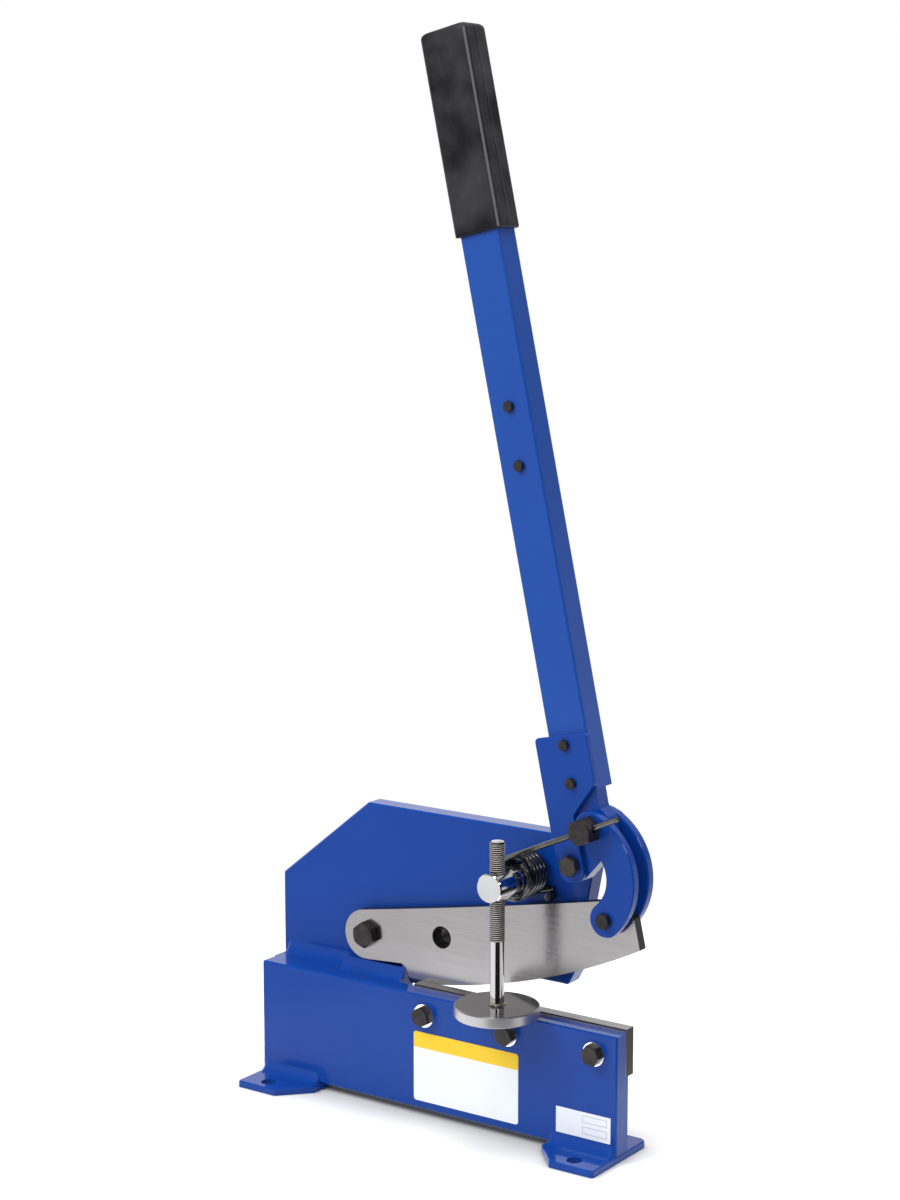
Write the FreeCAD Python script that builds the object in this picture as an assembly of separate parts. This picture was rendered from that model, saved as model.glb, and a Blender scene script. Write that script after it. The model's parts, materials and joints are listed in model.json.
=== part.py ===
import FreeCAD, Part
import math
import os

# A throatless bench shear: two welded frame plates, a fixed lower blade, a pivoted upper blade,
# and a hand lever that pulls the blade down through a pair of C-shaped links.
# Units are millimetres. X runs along the frame, +Y is to the back, +Z is up.
# The origin is the centre of the four bench bolt holes, on the bench.

Vector = FreeCAD.Vector

# Feet and bench bolts
foot_thickness = 5.0
foot_width = 55.0
foot_front_reach = 30.2
foot_rear_reach = 27.0
foot_cut_x = 20.0
foot_cut_y = 21.5
foot_front_round = 2.0
foot_rear_round = 5.0
foot_edge_chamfer = 0.8
bench_hole_inset = 21.0
bench_hole_spacing_y = 47.0
bench_hole_radius = 5.5

# Frame plates
frame_length = 310.0
plate_thickness = 15.0
plate_edge_chamfer = 1.0
front_plate_face_y = -3.5
front_plate_height = 85.0
front_plate_corner_round = 2.0
rebate_depth = 3.5
block_bottom_z = 30.0
block_to_blade = 25.1
nose_to_blade = 15.1
nose_height = 9.5
nose_clearance = 1.0
back_plate_left_x = -158.6
back_plate_top_z = 215.4
back_plate_shoulder_z = 150.8
back_plate_shoulder_x = -78.5
back_plate_foot_z = 42.0
back_plate_jaw_z = 108.3
back_plate_jaw_x = 95.6
back_plate_jaw_cut_z = 119.0
back_plate_jaw_cut_x = 101.4
back_plate_slant = 0.191
back_plate_corner_round = 15.0
throat_round = 10.0

# Welds: the leg of each and how far the hollow face's middle stands from the corner, as a share of the leg
weld_middle_share = 0.36
weld_end_margin = 1.0
foot_weld_front_leg = 8.0
foot_weld_rear_leg = 5.0
shelf_weld_leg = 9.0
shelf_weld_small_leg = 4.5

# Blades
lower_blade_thickness = 10.0
lower_blade_length = 178.4
lower_blade_height = 33.5
lower_blade_top_z = 92.3
lower_blade_bevel = 0.8
blade_bolt_end_margin = 18.0
blade_bolt_z = 75.3
blade_play = 0.3
upper_blade_thickness = 8.0
upper_blade_back_gap = 1.2
blade_pivot_x = -72.6
blade_pivot_z = 119.1
round_bar_hole_x = -5.9
round_bar_hole_z = 127.5
round_bar_hole_radius = 7.0

# Upper blade outline: the heel from the pivot, the link end from the link bolt, the toe from the lower blade
heel_radius = 18.5
heel_from_pivot = (-2.0, -0.9)
heel_top_deg = 101.0
heel_low_deg = -86.0
back_end_from_bolt = (-11.2, 9.4)
tip_top_from_bolt = (17.1, 0.9)
tip_from_bolt = (21.9, -19.9)
toe_overhang = 10.1
toe_overlap = 3.5
step_low_from_toe = (-2.1, 2.7)
step_high_from_toe = (-8.2, 13.2)
back_bow = -0.89
end_bow = 3.15
cutting_edge_bow = 9.86
step_bow = -2.02

# Lever, in its own frame: across is towards the blade end, along is up the handle, both from the pivot
lever_pivot_x = 108.1
lever_pivot_z = 199.8
lever_lean_deg = 12.3
spring_bolt_across = 21.7
spring_bolt_along = 24.2
tube_centre_across = 12.7
tube_width = 31.8
tube_depth = 21.4
tube_wall = 2.0
tube_corner_round = 1.6
tube_inner_round = 0.6
tube_bottom_along = 50.0
tube_joint_along = 296.0
tube_top_along = 568.0
tube_fit = 0.2
sleeve_length = 100.0
joint_bolt_offset = 20.5
grip_width = 38.0
grip_depth = 27.0
grip_bottom_along = 436.0
grip_top_along = 577.0
grip_corner_round = 7.0
cheek_thickness = 4.1
cheek_top_along = 89.5
cheek_left_across = -12.0
cheek_right_across = 30.5
cheek_cut_top_along = 54.3
cheek_cut_low_along = 34.0
cheek_side_low_along = 20.0
cheek_lobe_radius = 13.0
cheek_bolt_across = 11.8
cheek_bolt_low_along = 56.2
cheek_bolt_high_along = 82.8
neck_thickness = 12.1
neck_lobe_radius = 12.0
neck_shoulder_along = 37.0
neck_lobe_top_along = 30.0
neck_lobe_low_along = 9.0
neck_foot_across = 4.4
neck_foot_along = -12.8
pivot_play = 0.4
side_play = 0.3
running_play = 0.05

# C-shaped links
link_thickness = 7.0
link_edge_chamfer = 0.8
link_lobe_radius = 12.0
link_outer_radius = 50.0
link_inner_radius = 24.0
link_bolt_x = 137.2
link_bolt_z = 166.1

# Hold-down and spring
stub_x = 66.0
stub_z = 185.0
stub_radius = 10.4
stub_face_y = -27.5
rod_y = -17.0
rod_radius = 5.5
rod_top_z = 216.5
rod_smooth_length = 46.0
rod_neck_radius = 5.0
disc_radius = 30.0
disc_thickness = 8.0
disc_lift = 0.3
spring_wire = 4.0
spring_outer_radius = 16.4
spring_centre_lift = 1.2
spring_turns = 4
spring_end_past_bolt = 30.0
spring_front_turn_deg = 300.0
spring_gap_deg = 10.0
spring_front_gap = 0.5
spring_back_gap = 0.8
spring_leg_past_pin = 1.5
stop_pin_x = 84.2
stop_pin_z = 171.5
stop_pin_radius = 2.7
stop_pin_reach = 9.0

# Fasteners: across flats, head height, shank radius
m4 = {"flats": 7.0, "head": 2.8, "shank": 2.0}
m6 = {"flats": 10.0, "head": 4.0, "shank": 3.0}
m8 = {"flats": 13.0, "head": 5.3, "shank": 4.0}
m10 = {"flats": 17.0, "head": 6.4, "shank": 5.0}
washer_radius = 8.5
washer_thickness = 1.6
spring_bolt_head = 13.2
cross_hole_radius = 3.0
cross_hole_offset = 0.65

# Layers from front to back, each one set by the one before it
front_plate_back_y = front_plate_face_y + plate_thickness
rebate_y = front_plate_back_y - rebate_depth
shear_y = rebate_y + lower_blade_thickness
blade_front_y = shear_y + blade_play
blade_back_y = blade_front_y + upper_blade_thickness
back_plate_front_y = blade_back_y + upper_blade_back_gap
back_plate_back_y = back_plate_front_y + plate_thickness
neck_back_y = back_plate_front_y - pivot_play
neck_front_y = neck_back_y - neck_thickness
cheek_front_y = neck_front_y - cheek_thickness
link_front_back_y = neck_front_y - side_play
link_front_face_y = link_front_back_y - link_thickness
link_rear_face_y = neck_back_y + side_play
link_rear_back_y = link_rear_face_y + link_thickness
tube_centre_y = neck_front_y + tube_depth / 2
half_length = frame_length / 2
plate_bottom_z = foot_thickness
plate_top_z = plate_bottom_z + front_plate_height
lower_blade_bottom_z = lower_blade_top_z - lower_blade_height
lower_blade_left_x = half_length - lower_blade_length
block_right_x = lower_blade_left_x - block_to_blade
nose_right_x = lower_blade_left_x - nose_to_blade
nose_left_x = blade_pivot_x + heel_from_pivot[0] - heel_radius - nose_clearance
nose_back_y = blade_front_y - nose_clearance
spring_coil_z = stub_z + spring_centre_lift
spring_mean_radius = spring_outer_radius - spring_wire / 2
arm_y = link_front_face_y - side_play - spring_bolt_head / 2


def point(x, z, y=0.0):
    return Vector(x, y, z)


def rounded_outline(corners):
    # corners is a list of (x, z, radius) in order; radius 0 keeps the corner sharp
    edges = []
    count = len(corners)
    ends = []
    for index in range(count):
        x, z, radius = corners[index]
        here = point(x, z)
        before = point(*corners[index - 1][:2])
        after = point(*corners[(index + 1) % count][:2])
        to_before = (before - here).normalize()
        to_after = (after - here).normalize()
        if radius <= 0:
            ends.append((here, here, None))
            continue
        half_angle = to_before.getAngle(to_after) / 2
        reach = radius / math.tan(half_angle)
        bisector = (to_before + to_after).normalize()
        middle = here + bisector * (radius / math.sin(half_angle) - radius)
        ends.append((here + to_before * reach, here + to_after * reach, middle))
    for index in range(count):
        start, finish, middle = ends[index]
        if middle is not None:
            edges.append(Part.Arc(start, middle, finish).toShape())
        following = ends[(index + 1) % count][0]
        if (following - finish).Length > 1e-6:
            edges.append(Part.makeLine(finish, following))
    return Part.Wire(edges)


def plate(wire, y_front, thickness):
    face = Part.Face(wire)
    solid = face.extrude(Vector(0, thickness, 0))
    solid.translate(Vector(0, y_front, 0))
    return solid


def rod_along_y(x, z, radius, y_start, y_end):
    return Part.makeCylinder(radius, y_end - y_start, Vector(x, y_start, z), Vector(0, 1, 0))


def hexagon_along_y(x, z, flats, y_start, y_end, turn_deg=0.0):
    across_corners = flats / math.cos(math.radians(30))
    corners = []
    for index in range(6):
        angle = math.radians(60 * index + 30 + turn_deg)
        corners.append(point(x + across_corners / 2 * math.cos(angle), z + across_corners / 2 * math.sin(angle)))
    wire = Part.makePolygon(corners + [corners[0]])
    return plate(wire, y_start, y_end - y_start)


def domed_hexagon(x, z, flats, y_start, y_end, dome_in_front, turn_deg=0.0):
    # a bolt head or nut whose outer corners are chamfered by a cone
    prism = hexagon_along_y(x, z, flats, y_start, y_end, turn_deg)
    outer = flats / math.cos(math.radians(30)) / 2
    face_radius = flats / 2 * 0.94
    slope_height = (outer - face_radius) * math.tan(math.radians(30))
    length = y_end - y_start
    if dome_in_front:
        cone = Part.makeCone(face_radius, outer, slope_height, Vector(x, y_start, z), Vector(0, 1, 0))
        body = rod_along_y(x, z, outer, y_start + slope_height, y_end)
    else:
        cone = Part.makeCone(outer, face_radius, slope_height, Vector(x, y_end - slope_height, z), Vector(0, 1, 0))
        body = rod_along_y(x, z, outer, y_start, y_start + length - slope_height)
    return prism.common(cone.fuse(body))


def hex_bolt(x, z, size, seat_y, shank_end_y, turn_deg=0.0):
    # head in front of seat_y, shank behind it
    head = domed_hexagon(x, z, size["flats"], seat_y - size["head"], seat_y, True, turn_deg)
    shank = rod_along_y(x, z, size["shank"], seat_y - 1.0, shank_end_y)
    return head.fuse(shank).removeSplitter()


def hex_nut(x, z, size, seat_y, turn_deg=0.0):
    # seated against a face at seat_y, on a shank that runs through it
    body = domed_hexagon(x, z, size["flats"], seat_y, seat_y + size["head"] + 1.5, False, turn_deg)
    return body.cut(rod_along_y(x, z, size["shank"], seat_y - 1.0, seat_y + size["head"] + 3.0))


def lever_xz(across, along):
    lean = math.radians(lever_lean_deg)
    x = lever_pivot_x + across * math.cos(lean) - along * math.sin(lean)
    z = lever_pivot_z + across * math.sin(lean) + along * math.cos(lean)
    return x, z


def lean_with_lever(shape):
    # shape is modelled upright about the lever pivot and is turned to the open position
    shape.rotate(Vector(lever_pivot_x, 0, lever_pivot_z), Vector(0, 1, 0), -lever_lean_deg)
    return shape


def upright(across, along):
    return lever_pivot_x + across, lever_pivot_z + along


def offset(place, step):
    return place[0] + step[0], place[1] + step[1]


def on_circle(centre, radius, degrees):
    angle = math.radians(degrees)
    return centre[0] + radius * math.cos(angle), centre[1] + radius * math.sin(angle)


def toward(centre, place, reach):
    # the point at a distance of reach from centre, on the line through place
    dx = place[0] - centre[0]
    dz = place[1] - centre[1]
    distance = math.hypot(dx, dz)
    return centre[0] + dx / distance * reach, centre[1] + dz / distance * reach


def bowed_edge(start, finish, bow):
    # an arc whose middle stands off the straight line by bow, to the left of the way along it
    dx = finish[0] - start[0]
    dz = finish[1] - start[1]
    length = math.hypot(dx, dz)
    middle = ((start[0] + finish[0]) / 2 - dz / length * bow, (start[1] + finish[1]) / 2 + dx / length * bow)
    return Part.Arc(point(*start), point(*middle), point(*finish)).toShape()


def arc_through(centre, radius, start, finish, clockwise):
    start_angle = math.atan2(start[1] - centre[1], start[0] - centre[0])
    end_angle = math.atan2(finish[1] - centre[1], finish[0] - centre[0])
    if clockwise and end_angle > start_angle:
        end_angle -= 2 * math.pi
    if not clockwise and end_angle < start_angle:
        end_angle += 2 * math.pi
    middle_angle = (start_angle + end_angle) / 2
    middle = (centre[0] + radius * math.cos(middle_angle), centre[1] + radius * math.sin(middle_angle))
    return Part.Arc(point(*start), point(*middle), point(*finish)).toShape()


def line_between(start, finish):
    return Part.makeLine(point(*start), point(*finish))


def front_edges(shape, y_value):
    # edges that lie wholly in the plane y = y_value
    chosen = []
    for edge in shape.Edges:
        box = edge.BoundBox
        if abs(box.YMin - y_value) < 1e-4 and abs(box.YMax - y_value) < 1e-4:
            chosen.append(edge)
    return chosen


def hollow_ridge(left_x, right_x, edge_y, wall_y, base_z, height):
    # a long solid with a hollow upper face that rises from edge_y on the base to the top of the wall
    corner = Vector(left_x, wall_y, base_z)
    low = Vector(left_x, edge_y, base_z)
    high = Vector(left_x, wall_y, base_z + height)
    middle = corner + (low - corner) * weld_middle_share + (high - corner) * weld_middle_share
    edges = [Part.makeLine(corner, low), Part.Arc(low, middle, high).toShape(), Part.makeLine(high, corner)]
    return Part.Face(Part.Wire(edges)).extrude(Vector(right_x - left_x, 0, 0))


# Feet: one cut plate under each end of the front plate

def foot(sign):
    outer_x = sign * half_length
    inner_x = outer_x - sign * foot_width
    front_y = front_plate_face_y - foot_front_reach
    rear_y = front_plate_back_y + foot_rear_reach
    face = Part.Face(rounded_outline([
        (outer_x, front_y, foot_front_round), (outer_x, rear_y, foot_rear_round),
        (inner_x, rear_y, foot_rear_round), (inner_x, front_y + foot_cut_y, 0.0),
        (inner_x + sign * foot_cut_x, front_y, 0.0),
    ]))
    # the outline is drawn upright and laid down on the bench
    face.rotate(Vector(0, 0, 0), Vector(1, 0, 0), -90)
    solid = face.extrude(Vector(0, 0, foot_thickness))
    top_edges = [edge for edge in solid.Edges if edge.BoundBox.ZMin > foot_thickness - 1e-4]
    solid = solid.makeChamfer(foot_edge_chamfer, top_edges)
    for side in (-1, 1):
        place = Vector(sign * (half_length - bench_hole_inset), side * bench_hole_spacing_y / 2, 0)
        solid = solid.cut(Part.makeCylinder(bench_hole_radius, foot_thickness, place))
    return solid


def foot_weld(sign):
    # a hollow weld on each side of the plate where it stands on the foot
    ends = (sign * (half_length - weld_end_margin), sign * (half_length - foot_width + weld_end_margin))
    front = hollow_ridge(min(ends), max(ends), front_plate_face_y - foot_weld_front_leg, front_plate_face_y,
                         foot_thickness, foot_weld_front_leg)
    rear = hollow_ridge(min(ends), max(ends), front_plate_back_y + foot_weld_rear_leg, front_plate_back_y,
                        foot_thickness, foot_weld_rear_leg)
    return Part.makeCompound([front, rear])


# Frame plates

blade_bolt_xs = [
    half_length - blade_bolt_end_margin - index * (lower_blade_length - 2 * blade_bolt_end_margin) / 2
    for index in (2, 1, 0)
]


def front_plate():
    corners = [
        (-half_length, plate_bottom_z, 0.0), (half_length, plate_bottom_z, 0.0),
        (half_length, plate_top_z, 0.0), (-half_length, plate_top_z, front_plate_corner_round),
    ]
    solid = plate(rounded_outline(corners), front_plate_face_y, plate_thickness)
    rebate = Part.makeBox(lower_blade_length, rebate_depth, plate_top_z - lower_blade_bottom_z + 1.0,
                          Vector(lower_blade_left_x, rebate_y, lower_blade_bottom_z))
    solid = solid.cut(rebate)
    solid = solid.makeChamfer(plate_edge_chamfer, front_edges(solid, front_plate_face_y))
    for x in blade_bolt_xs:
        solid = solid.cut(rod_along_y(x, blade_bolt_z, m8["shank"] + 0.3, front_plate_face_y - 1, rebate_y + 1))
    return solid


def back_plate_outline():
    edge_top_x = back_plate_jaw_cut_x + back_plate_slant * (back_plate_top_z - back_plate_jaw_cut_z)
    return rounded_outline([
        (back_plate_left_x, back_plate_foot_z, 0.0),
        (back_plate_left_x, back_plate_shoulder_z, 2.0),
        (back_plate_shoulder_x, back_plate_top_z, 2.0),
        (edge_top_x, back_plate_top_z, back_plate_corner_round),
        (back_plate_jaw_cut_x, back_plate_jaw_cut_z, 3.0),
        (back_plate_jaw_x, back_plate_jaw_z, 2.0),
        (block_right_x, back_plate_jaw_z, throat_round),
        (block_right_x, back_plate_foot_z, 8.0),
    ])


def back_plate():
    solid = plate(back_plate_outline(), back_plate_front_y, plate_thickness)
    edges = front_edges(solid, back_plate_front_y) + front_edges(solid, back_plate_back_y)
    solid = solid.makeChamfer(plate_edge_chamfer, edges)
    holes = (
        (blade_pivot_x, blade_pivot_z, m10["shank"]),
        (lever_pivot_x, lever_pivot_z, m8["shank"]),
        (stub_x, stub_z, stub_radius - 2.4),
        (stop_pin_x, stop_pin_z, stop_pin_radius - 0.5),
        (round_bar_hole_x, round_bar_hole_z, round_bar_hole_radius),
    )
    for x, z, radius in holes:
        solid = solid.cut(rod_along_y(x, z, radius, back_plate_front_y - 1, back_plate_back_y + 1))
    return solid


def joining_block():
    # fills the space between the two plates at the pivot end, with a hollow nose in front of the blade's heel
    left_x = -half_length
    height = plate_top_z - block_bottom_z
    corner = Vector(left_x, front_plate_back_y, block_bottom_z)
    deep = Part.makeBox(block_right_x - left_x, back_plate_front_y - front_plate_back_y, height, corner)
    shallow = Part.makeBox(nose_right_x - left_x, nose_back_y - front_plate_back_y, height, corner)
    nose = hollow_ridge(nose_left_x, nose_right_x, front_plate_back_y, nose_back_y, plate_top_z, nose_height)
    return deep.fuse([shallow, nose]).removeSplitter()


def shelf_weld():
    # a hollow weld between the block's top and the back plate, smaller behind the blade
    large = hollow_ridge(-half_length, nose_left_x, back_plate_front_y - shelf_weld_leg, back_plate_front_y,
                         plate_top_z, shelf_weld_leg)
    small = hollow_ridge(nose_left_x, block_right_x - 2.0, back_plate_front_y - shelf_weld_small_leg,
                         back_plate_front_y, plate_top_z, shelf_weld_small_leg)
    return large.fuse(small).removeSplitter()


# Blades

def lower_blade():
    solid = Part.makeBox(lower_blade_length, lower_blade_thickness, lower_blade_height,
                         Vector(lower_blade_left_x, rebate_y, lower_blade_bottom_z))
    solid = solid.makeChamfer(lower_blade_bevel, front_edges(solid, rebate_y))
    for x in blade_bolt_xs:
        solid = solid.cut(rod_along_y(x, blade_bolt_z, m8["shank"], rebate_y - 1, shear_y - 1.5))
    return solid


def blade_bolts():
    bolts = []
    for index, x in enumerate(blade_bolt_xs):
        seat = front_plate_face_y - washer_thickness
        bolts.append(hex_bolt(x, blade_bolt_z, m8, seat, shear_y - 2.0, 11.0 * index))
    return Part.makeCompound(bolts)


def blade_washers():
    washers = []
    for x in blade_bolt_xs:
        ring = rod_along_y(x, blade_bolt_z, washer_radius, front_plate_face_y - washer_thickness, front_plate_face_y)
        washers.append(ring.cut(rod_along_y(x, blade_bolt_z, m8["shank"] + 0.2,
                                            front_plate_face_y - washer_thickness - 1, front_plate_face_y + 1)))
    return Part.makeCompound(washers)


def upper_blade_outline():
    # round heel about the pivot, slightly hollow back rising to the link end, and a bowed cutting edge
    heel = offset((blade_pivot_x, blade_pivot_z), heel_from_pivot)
    heel_low = on_circle(heel, heel_radius, heel_low_deg)
    heel_top = on_circle(heel, heel_radius, heel_top_deg)
    back_end = offset((link_bolt_x, link_bolt_z), back_end_from_bolt)
    tip_top = offset((link_bolt_x, link_bolt_z), tip_top_from_bolt)
    tip = offset((link_bolt_x, link_bolt_z), tip_from_bolt)
    toe = (lower_blade_left_x - toe_overhang, lower_blade_top_z - toe_overlap)
    step_low = offset(toe, step_low_from_toe)
    step_high = offset(toe, step_high_from_toe)
    edges = [
        arc_through(heel, heel_radius, heel_low, heel_top, True),
        bowed_edge(heel_top, back_end, back_bow),
        bowed_edge(back_end, tip_top, end_bow),
        line_between(tip_top, tip),
        bowed_edge(tip, toe, cutting_edge_bow),
        line_between(toe, step_low),
        bowed_edge(step_low, step_high, step_bow),
        line_between(step_high, heel_low),
    ]
    return Part.Wire(edges)


def upper_blade():
    solid = plate(upper_blade_outline(), blade_front_y, upper_blade_thickness)
    holes = (
        (blade_pivot_x, blade_pivot_z, m10["shank"] + running_play),
        (round_bar_hole_x, round_bar_hole_z, round_bar_hole_radius),
        (link_bolt_x, link_bolt_z, m6["shank"] + 2.0),
    )
    for x, z, radius in holes:
        solid = solid.cut(rod_along_y(x, z, radius, blade_front_y - 1, blade_back_y + 1))
    return solid


def blade_link_pin():
    # the sleeve that carries the blade between the two links
    return rod_along_y(link_bolt_x, link_bolt_z, m6["shank"] + 2.0,
                       link_front_back_y + side_play, link_rear_face_y - side_play)


def blade_pivot_bolt():
    seat = blade_front_y - side_play
    end = back_plate_back_y + m10["head"] + 3.5
    return hex_bolt(blade_pivot_x, blade_pivot_z, m10, seat, end, 8.0)


def blade_pivot_washer():
    front = blade_back_y + side_play
    ring = rod_along_y(blade_pivot_x, blade_pivot_z, 10.0, front, back_plate_front_y)
    return ring.cut(rod_along_y(blade_pivot_x, blade_pivot_z, m10["shank"], front - 1, back_plate_front_y + 1))


def blade_pivot_nut():
    return hex_nut(blade_pivot_x, blade_pivot_z, m10, back_plate_back_y, 20.0)


# Lever

def lever_pivot_bolt():
    seat = cheek_front_y - side_play
    end = back_plate_back_y + m8["head"] + 3.5
    return hex_bolt(lever_pivot_x, lever_pivot_z, m8, seat, end, 14.0)


def lever_pivot_nut():
    return hex_nut(lever_pivot_x, lever_pivot_z, m8, back_plate_back_y, 5.0)


def lever_cheek():
    # flat plate in front of the tube and neck, cut back so that the link can swing past it
    lobe = cheek_lobe_radius
    gap = link_lobe_radius + side_play + 0.2
    inner = spring_bolt_across - gap
    corners = [
        (*upright(cheek_left_across, cheek_top_along), 3.0),
        (*upright(cheek_right_across, cheek_top_along), 3.0),
        (*upright(cheek_right_across, cheek_cut_top_along), 0.6),
        (*upright(inner, cheek_cut_low_along), 1.5),
        (*upright(inner, -lobe + 1.0), lobe * 0.5),
        (*upright(cheek_left_across + 1.5, -lobe), lobe * 0.75),
        (*upright(cheek_left_across, cheek_side_low_along), 0.0),
    ]
    solid = plate(rounded_outline(corners), cheek_front_y, cheek_thickness)
    solid = solid.makeFillet(0.8, front_edges(solid, cheek_front_y))
    solid = solid.cut(rod_along_y(lever_pivot_x, lever_pivot_z, m8["shank"] + running_play,
                                  cheek_front_y - 1, neck_front_y + 1))
    for along in (cheek_bolt_low_along, cheek_bolt_high_along):
        x, z = upright(cheek_bolt_across, along)
        solid = solid.cut(rod_along_y(x, z, m4["shank"], cheek_front_y - 1, neck_front_y + 1))
    return lean_with_lever(solid)


def lever_neck():
    # thick lower end with a tongue that fills the tube
    lobe = neck_lobe_radius
    right = spring_bolt_across + lobe
    shoulder = tube_centre_across + tube_width / 2
    corners = [
        (*upright(cheek_left_across, tube_bottom_along), 0.0),
        (*upright(shoulder, tube_bottom_along), 0.0),
        (*upright(shoulder, neck_shoulder_along), 4.0),
        (*upright(right, neck_lobe_top_along), 6.0),
        (*upright(right, neck_lobe_low_along), 8.0),
        (*upright(neck_foot_across, neck_foot_along), lobe * 0.6),
        (*upright(cheek_left_across, neck_foot_along), lobe * 0.9),
    ]
    solid = plate(rounded_outline(corners), neck_front_y, neck_thickness)
    tongue_width = tube_width - 2 * tube_wall - 2 * tube_fit
    tongue_depth = tube_depth - 2 * tube_wall - 2 * tube_fit
    tongue_x, tongue_z = upright(tube_centre_across - tongue_width / 2, tube_bottom_along)
    tongue = Part.makeBox(tongue_width, tongue_depth, cheek_top_along + 4.0 - tube_bottom_along,
                          Vector(tongue_x, tube_centre_y - tongue_depth / 2, tongue_z))
    solid = solid.fuse(tongue)
    solid = solid.cut(rod_along_y(lever_pivot_x, lever_pivot_z, m8["shank"] + running_play,
                                  neck_front_y - 1, neck_back_y + 8))
    bx, bz = upright(spring_bolt_across, spring_bolt_along)
    solid = solid.cut(rod_along_y(bx, bz, m10["shank"] + running_play, neck_front_y - 1, neck_back_y + 8))
    for along in (cheek_bolt_low_along, cheek_bolt_high_along):
        x, z = upright(cheek_bolt_across, along)
        solid = solid.cut(rod_along_y(x, z, m4["shank"], neck_front_y - 1, neck_front_y + tube_depth))
    return lean_with_lever(solid.removeSplitter())


def upright_bar(width, depth, wall_round, low_along, high_along):
    x, z = upright(tube_centre_across - width / 2, low_along)
    bar = Part.makeBox(width, depth, high_along - low_along, Vector(x, tube_centre_y - depth / 2, z))
    long_edges = [edge for edge in bar.Edges if abs(edge.BoundBox.ZLength - (high_along - low_along)) < 1e-6]
    return bar.makeFillet(wall_round, long_edges)


def square_tube(low_along, high_along, bolt_places):
    outer = upright_bar(tube_width, tube_depth, tube_corner_round, low_along, high_along)
    inner = upright_bar(tube_width - 2 * tube_wall, tube_depth - 2 * tube_wall, tube_inner_round,
                        low_along - 1, high_along + 1)
    solid = outer.cut(inner)
    for across, along in bolt_places:
        x, z = upright(across, along)
        solid = solid.cut(rod_along_y(x, z, m4["shank"], neck_front_y - 1, neck_front_y + tube_depth + 1))
    return lean_with_lever(solid)


def handle_sleeve():
    # square tube inside the joint of the two handle tubes
    fit = 2 * tube_wall + 2 * tube_fit
    low = tube_joint_along - sleeve_length / 2
    high = tube_joint_along + sleeve_length / 2
    outer = upright_bar(tube_width - fit, tube_depth - fit, 0.8, low, high)
    inner = upright_bar(tube_width - fit - 2 * tube_wall, tube_depth - fit - 2 * tube_wall, 0.4, low - 1, high + 1)
    solid = outer.cut(inner)
    for side in (-1, 1):
        x, z = upright(tube_centre_across, tube_joint_along + side * joint_bolt_offset)
        solid = solid.cut(rod_along_y(x, z, m4["shank"], neck_front_y - 1, neck_front_y + tube_depth + 1))
    return lean_with_lever(solid)


def through_bolts(places, seat_y):
    solids = []
    back = neck_front_y + tube_depth
    for index, (across, along) in enumerate(places):
        x, z = lever_xz(across, along)
        bolt = hex_bolt(x, z, m4, seat_y, back + m4["head"] + 2.5, 9.0 * index + 4.0)
        solids.append(bolt)
    return Part.makeCompound(solids)


def through_nuts(places):
    back = neck_front_y + tube_depth
    return Part.makeCompound([hex_nut(*lever_xz(across, along), m4, back, 12.0) for across, along in places])


joint_places = [(tube_centre_across, tube_joint_along + side * joint_bolt_offset) for side in (-1, 1)]
cheek_places = [(cheek_bolt_across, along) for along in (cheek_bolt_low_along, cheek_bolt_high_along)]


def handle_grip():
    # moulded sleeve, closed at the top, pushed over the upper tube
    outer = upright_bar(grip_width, grip_depth, grip_corner_round, grip_bottom_along, grip_top_along)
    top_edges = [edge for edge in outer.Edges
                 if edge.BoundBox.ZMin > lever_pivot_z + grip_top_along - 1e-3]
    outer = outer.makeFillet(grip_corner_round * 0.6, top_edges)
    cavity = upright_bar(tube_width + 2 * tube_fit, tube_depth + 2 * tube_fit, tube_corner_round,
                         grip_bottom_along - 1, tube_top_along + tube_fit)
    return lean_with_lever(outer.cut(cavity))


# C-shaped links

spring_bolt_place = lever_xz(spring_bolt_across, spring_bolt_along)
link_bolt_place = (link_bolt_x, link_bolt_z)


def link_arc_centre(reach):
    # the point on the pivot side that lies reach from both bolt places
    (x1, z1), (x2, z2) = spring_bolt_place, link_bolt_place
    half = math.hypot(x2 - x1, z2 - z1) / 2
    set_back = math.sqrt(reach ** 2 - half ** 2)
    along_x = (x2 - x1) / (2 * half)
    along_z = (z2 - z1) / (2 * half)
    return (x1 + x2) / 2 + along_z * set_back, (z1 + z2) / 2 - along_x * set_back


def link_outline():
    # a C of nearly even width: two arcs that run into a round lobe about each bolt
    lobe = link_lobe_radius
    outer = link_arc_centre(link_outer_radius - lobe)
    inner = link_arc_centre(link_inner_radius + lobe)
    top_outer = toward(outer, spring_bolt_place, link_outer_radius)
    low_outer = toward(outer, link_bolt_place, link_outer_radius)
    low_inner = toward(inner, link_bolt_place, link_inner_radius)
    top_inner = toward(inner, spring_bolt_place, link_inner_radius)
    edges = [
        arc_through(outer, link_outer_radius, top_outer, low_outer, True),
        arc_through(link_bolt_place, lobe, low_outer, low_inner, True),
        arc_through(inner, link_inner_radius, low_inner, top_inner, False),
        arc_through(spring_bolt_place, lobe, top_inner, top_outer, True),
    ]
    return Part.Wire(edges)


def link(y_front):
    solid = plate(link_outline(), y_front, link_thickness)
    edges = front_edges(solid, y_front) + front_edges(solid, y_front + link_thickness)
    solid = solid.makeChamfer(link_edge_chamfer, edges)
    solid = solid.cut(rod_along_y(*spring_bolt_place, m10["shank"] + running_play, y_front - 1,
                                  y_front + link_thickness + 1))
    return solid.cut(rod_along_y(*link_bolt_place, m6["shank"], y_front - 1, y_front + link_thickness + 1))


def link_bolt():
    return hex_bolt(*link_bolt_place, m6, link_front_face_y, link_front_back_y, 22.0)


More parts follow.
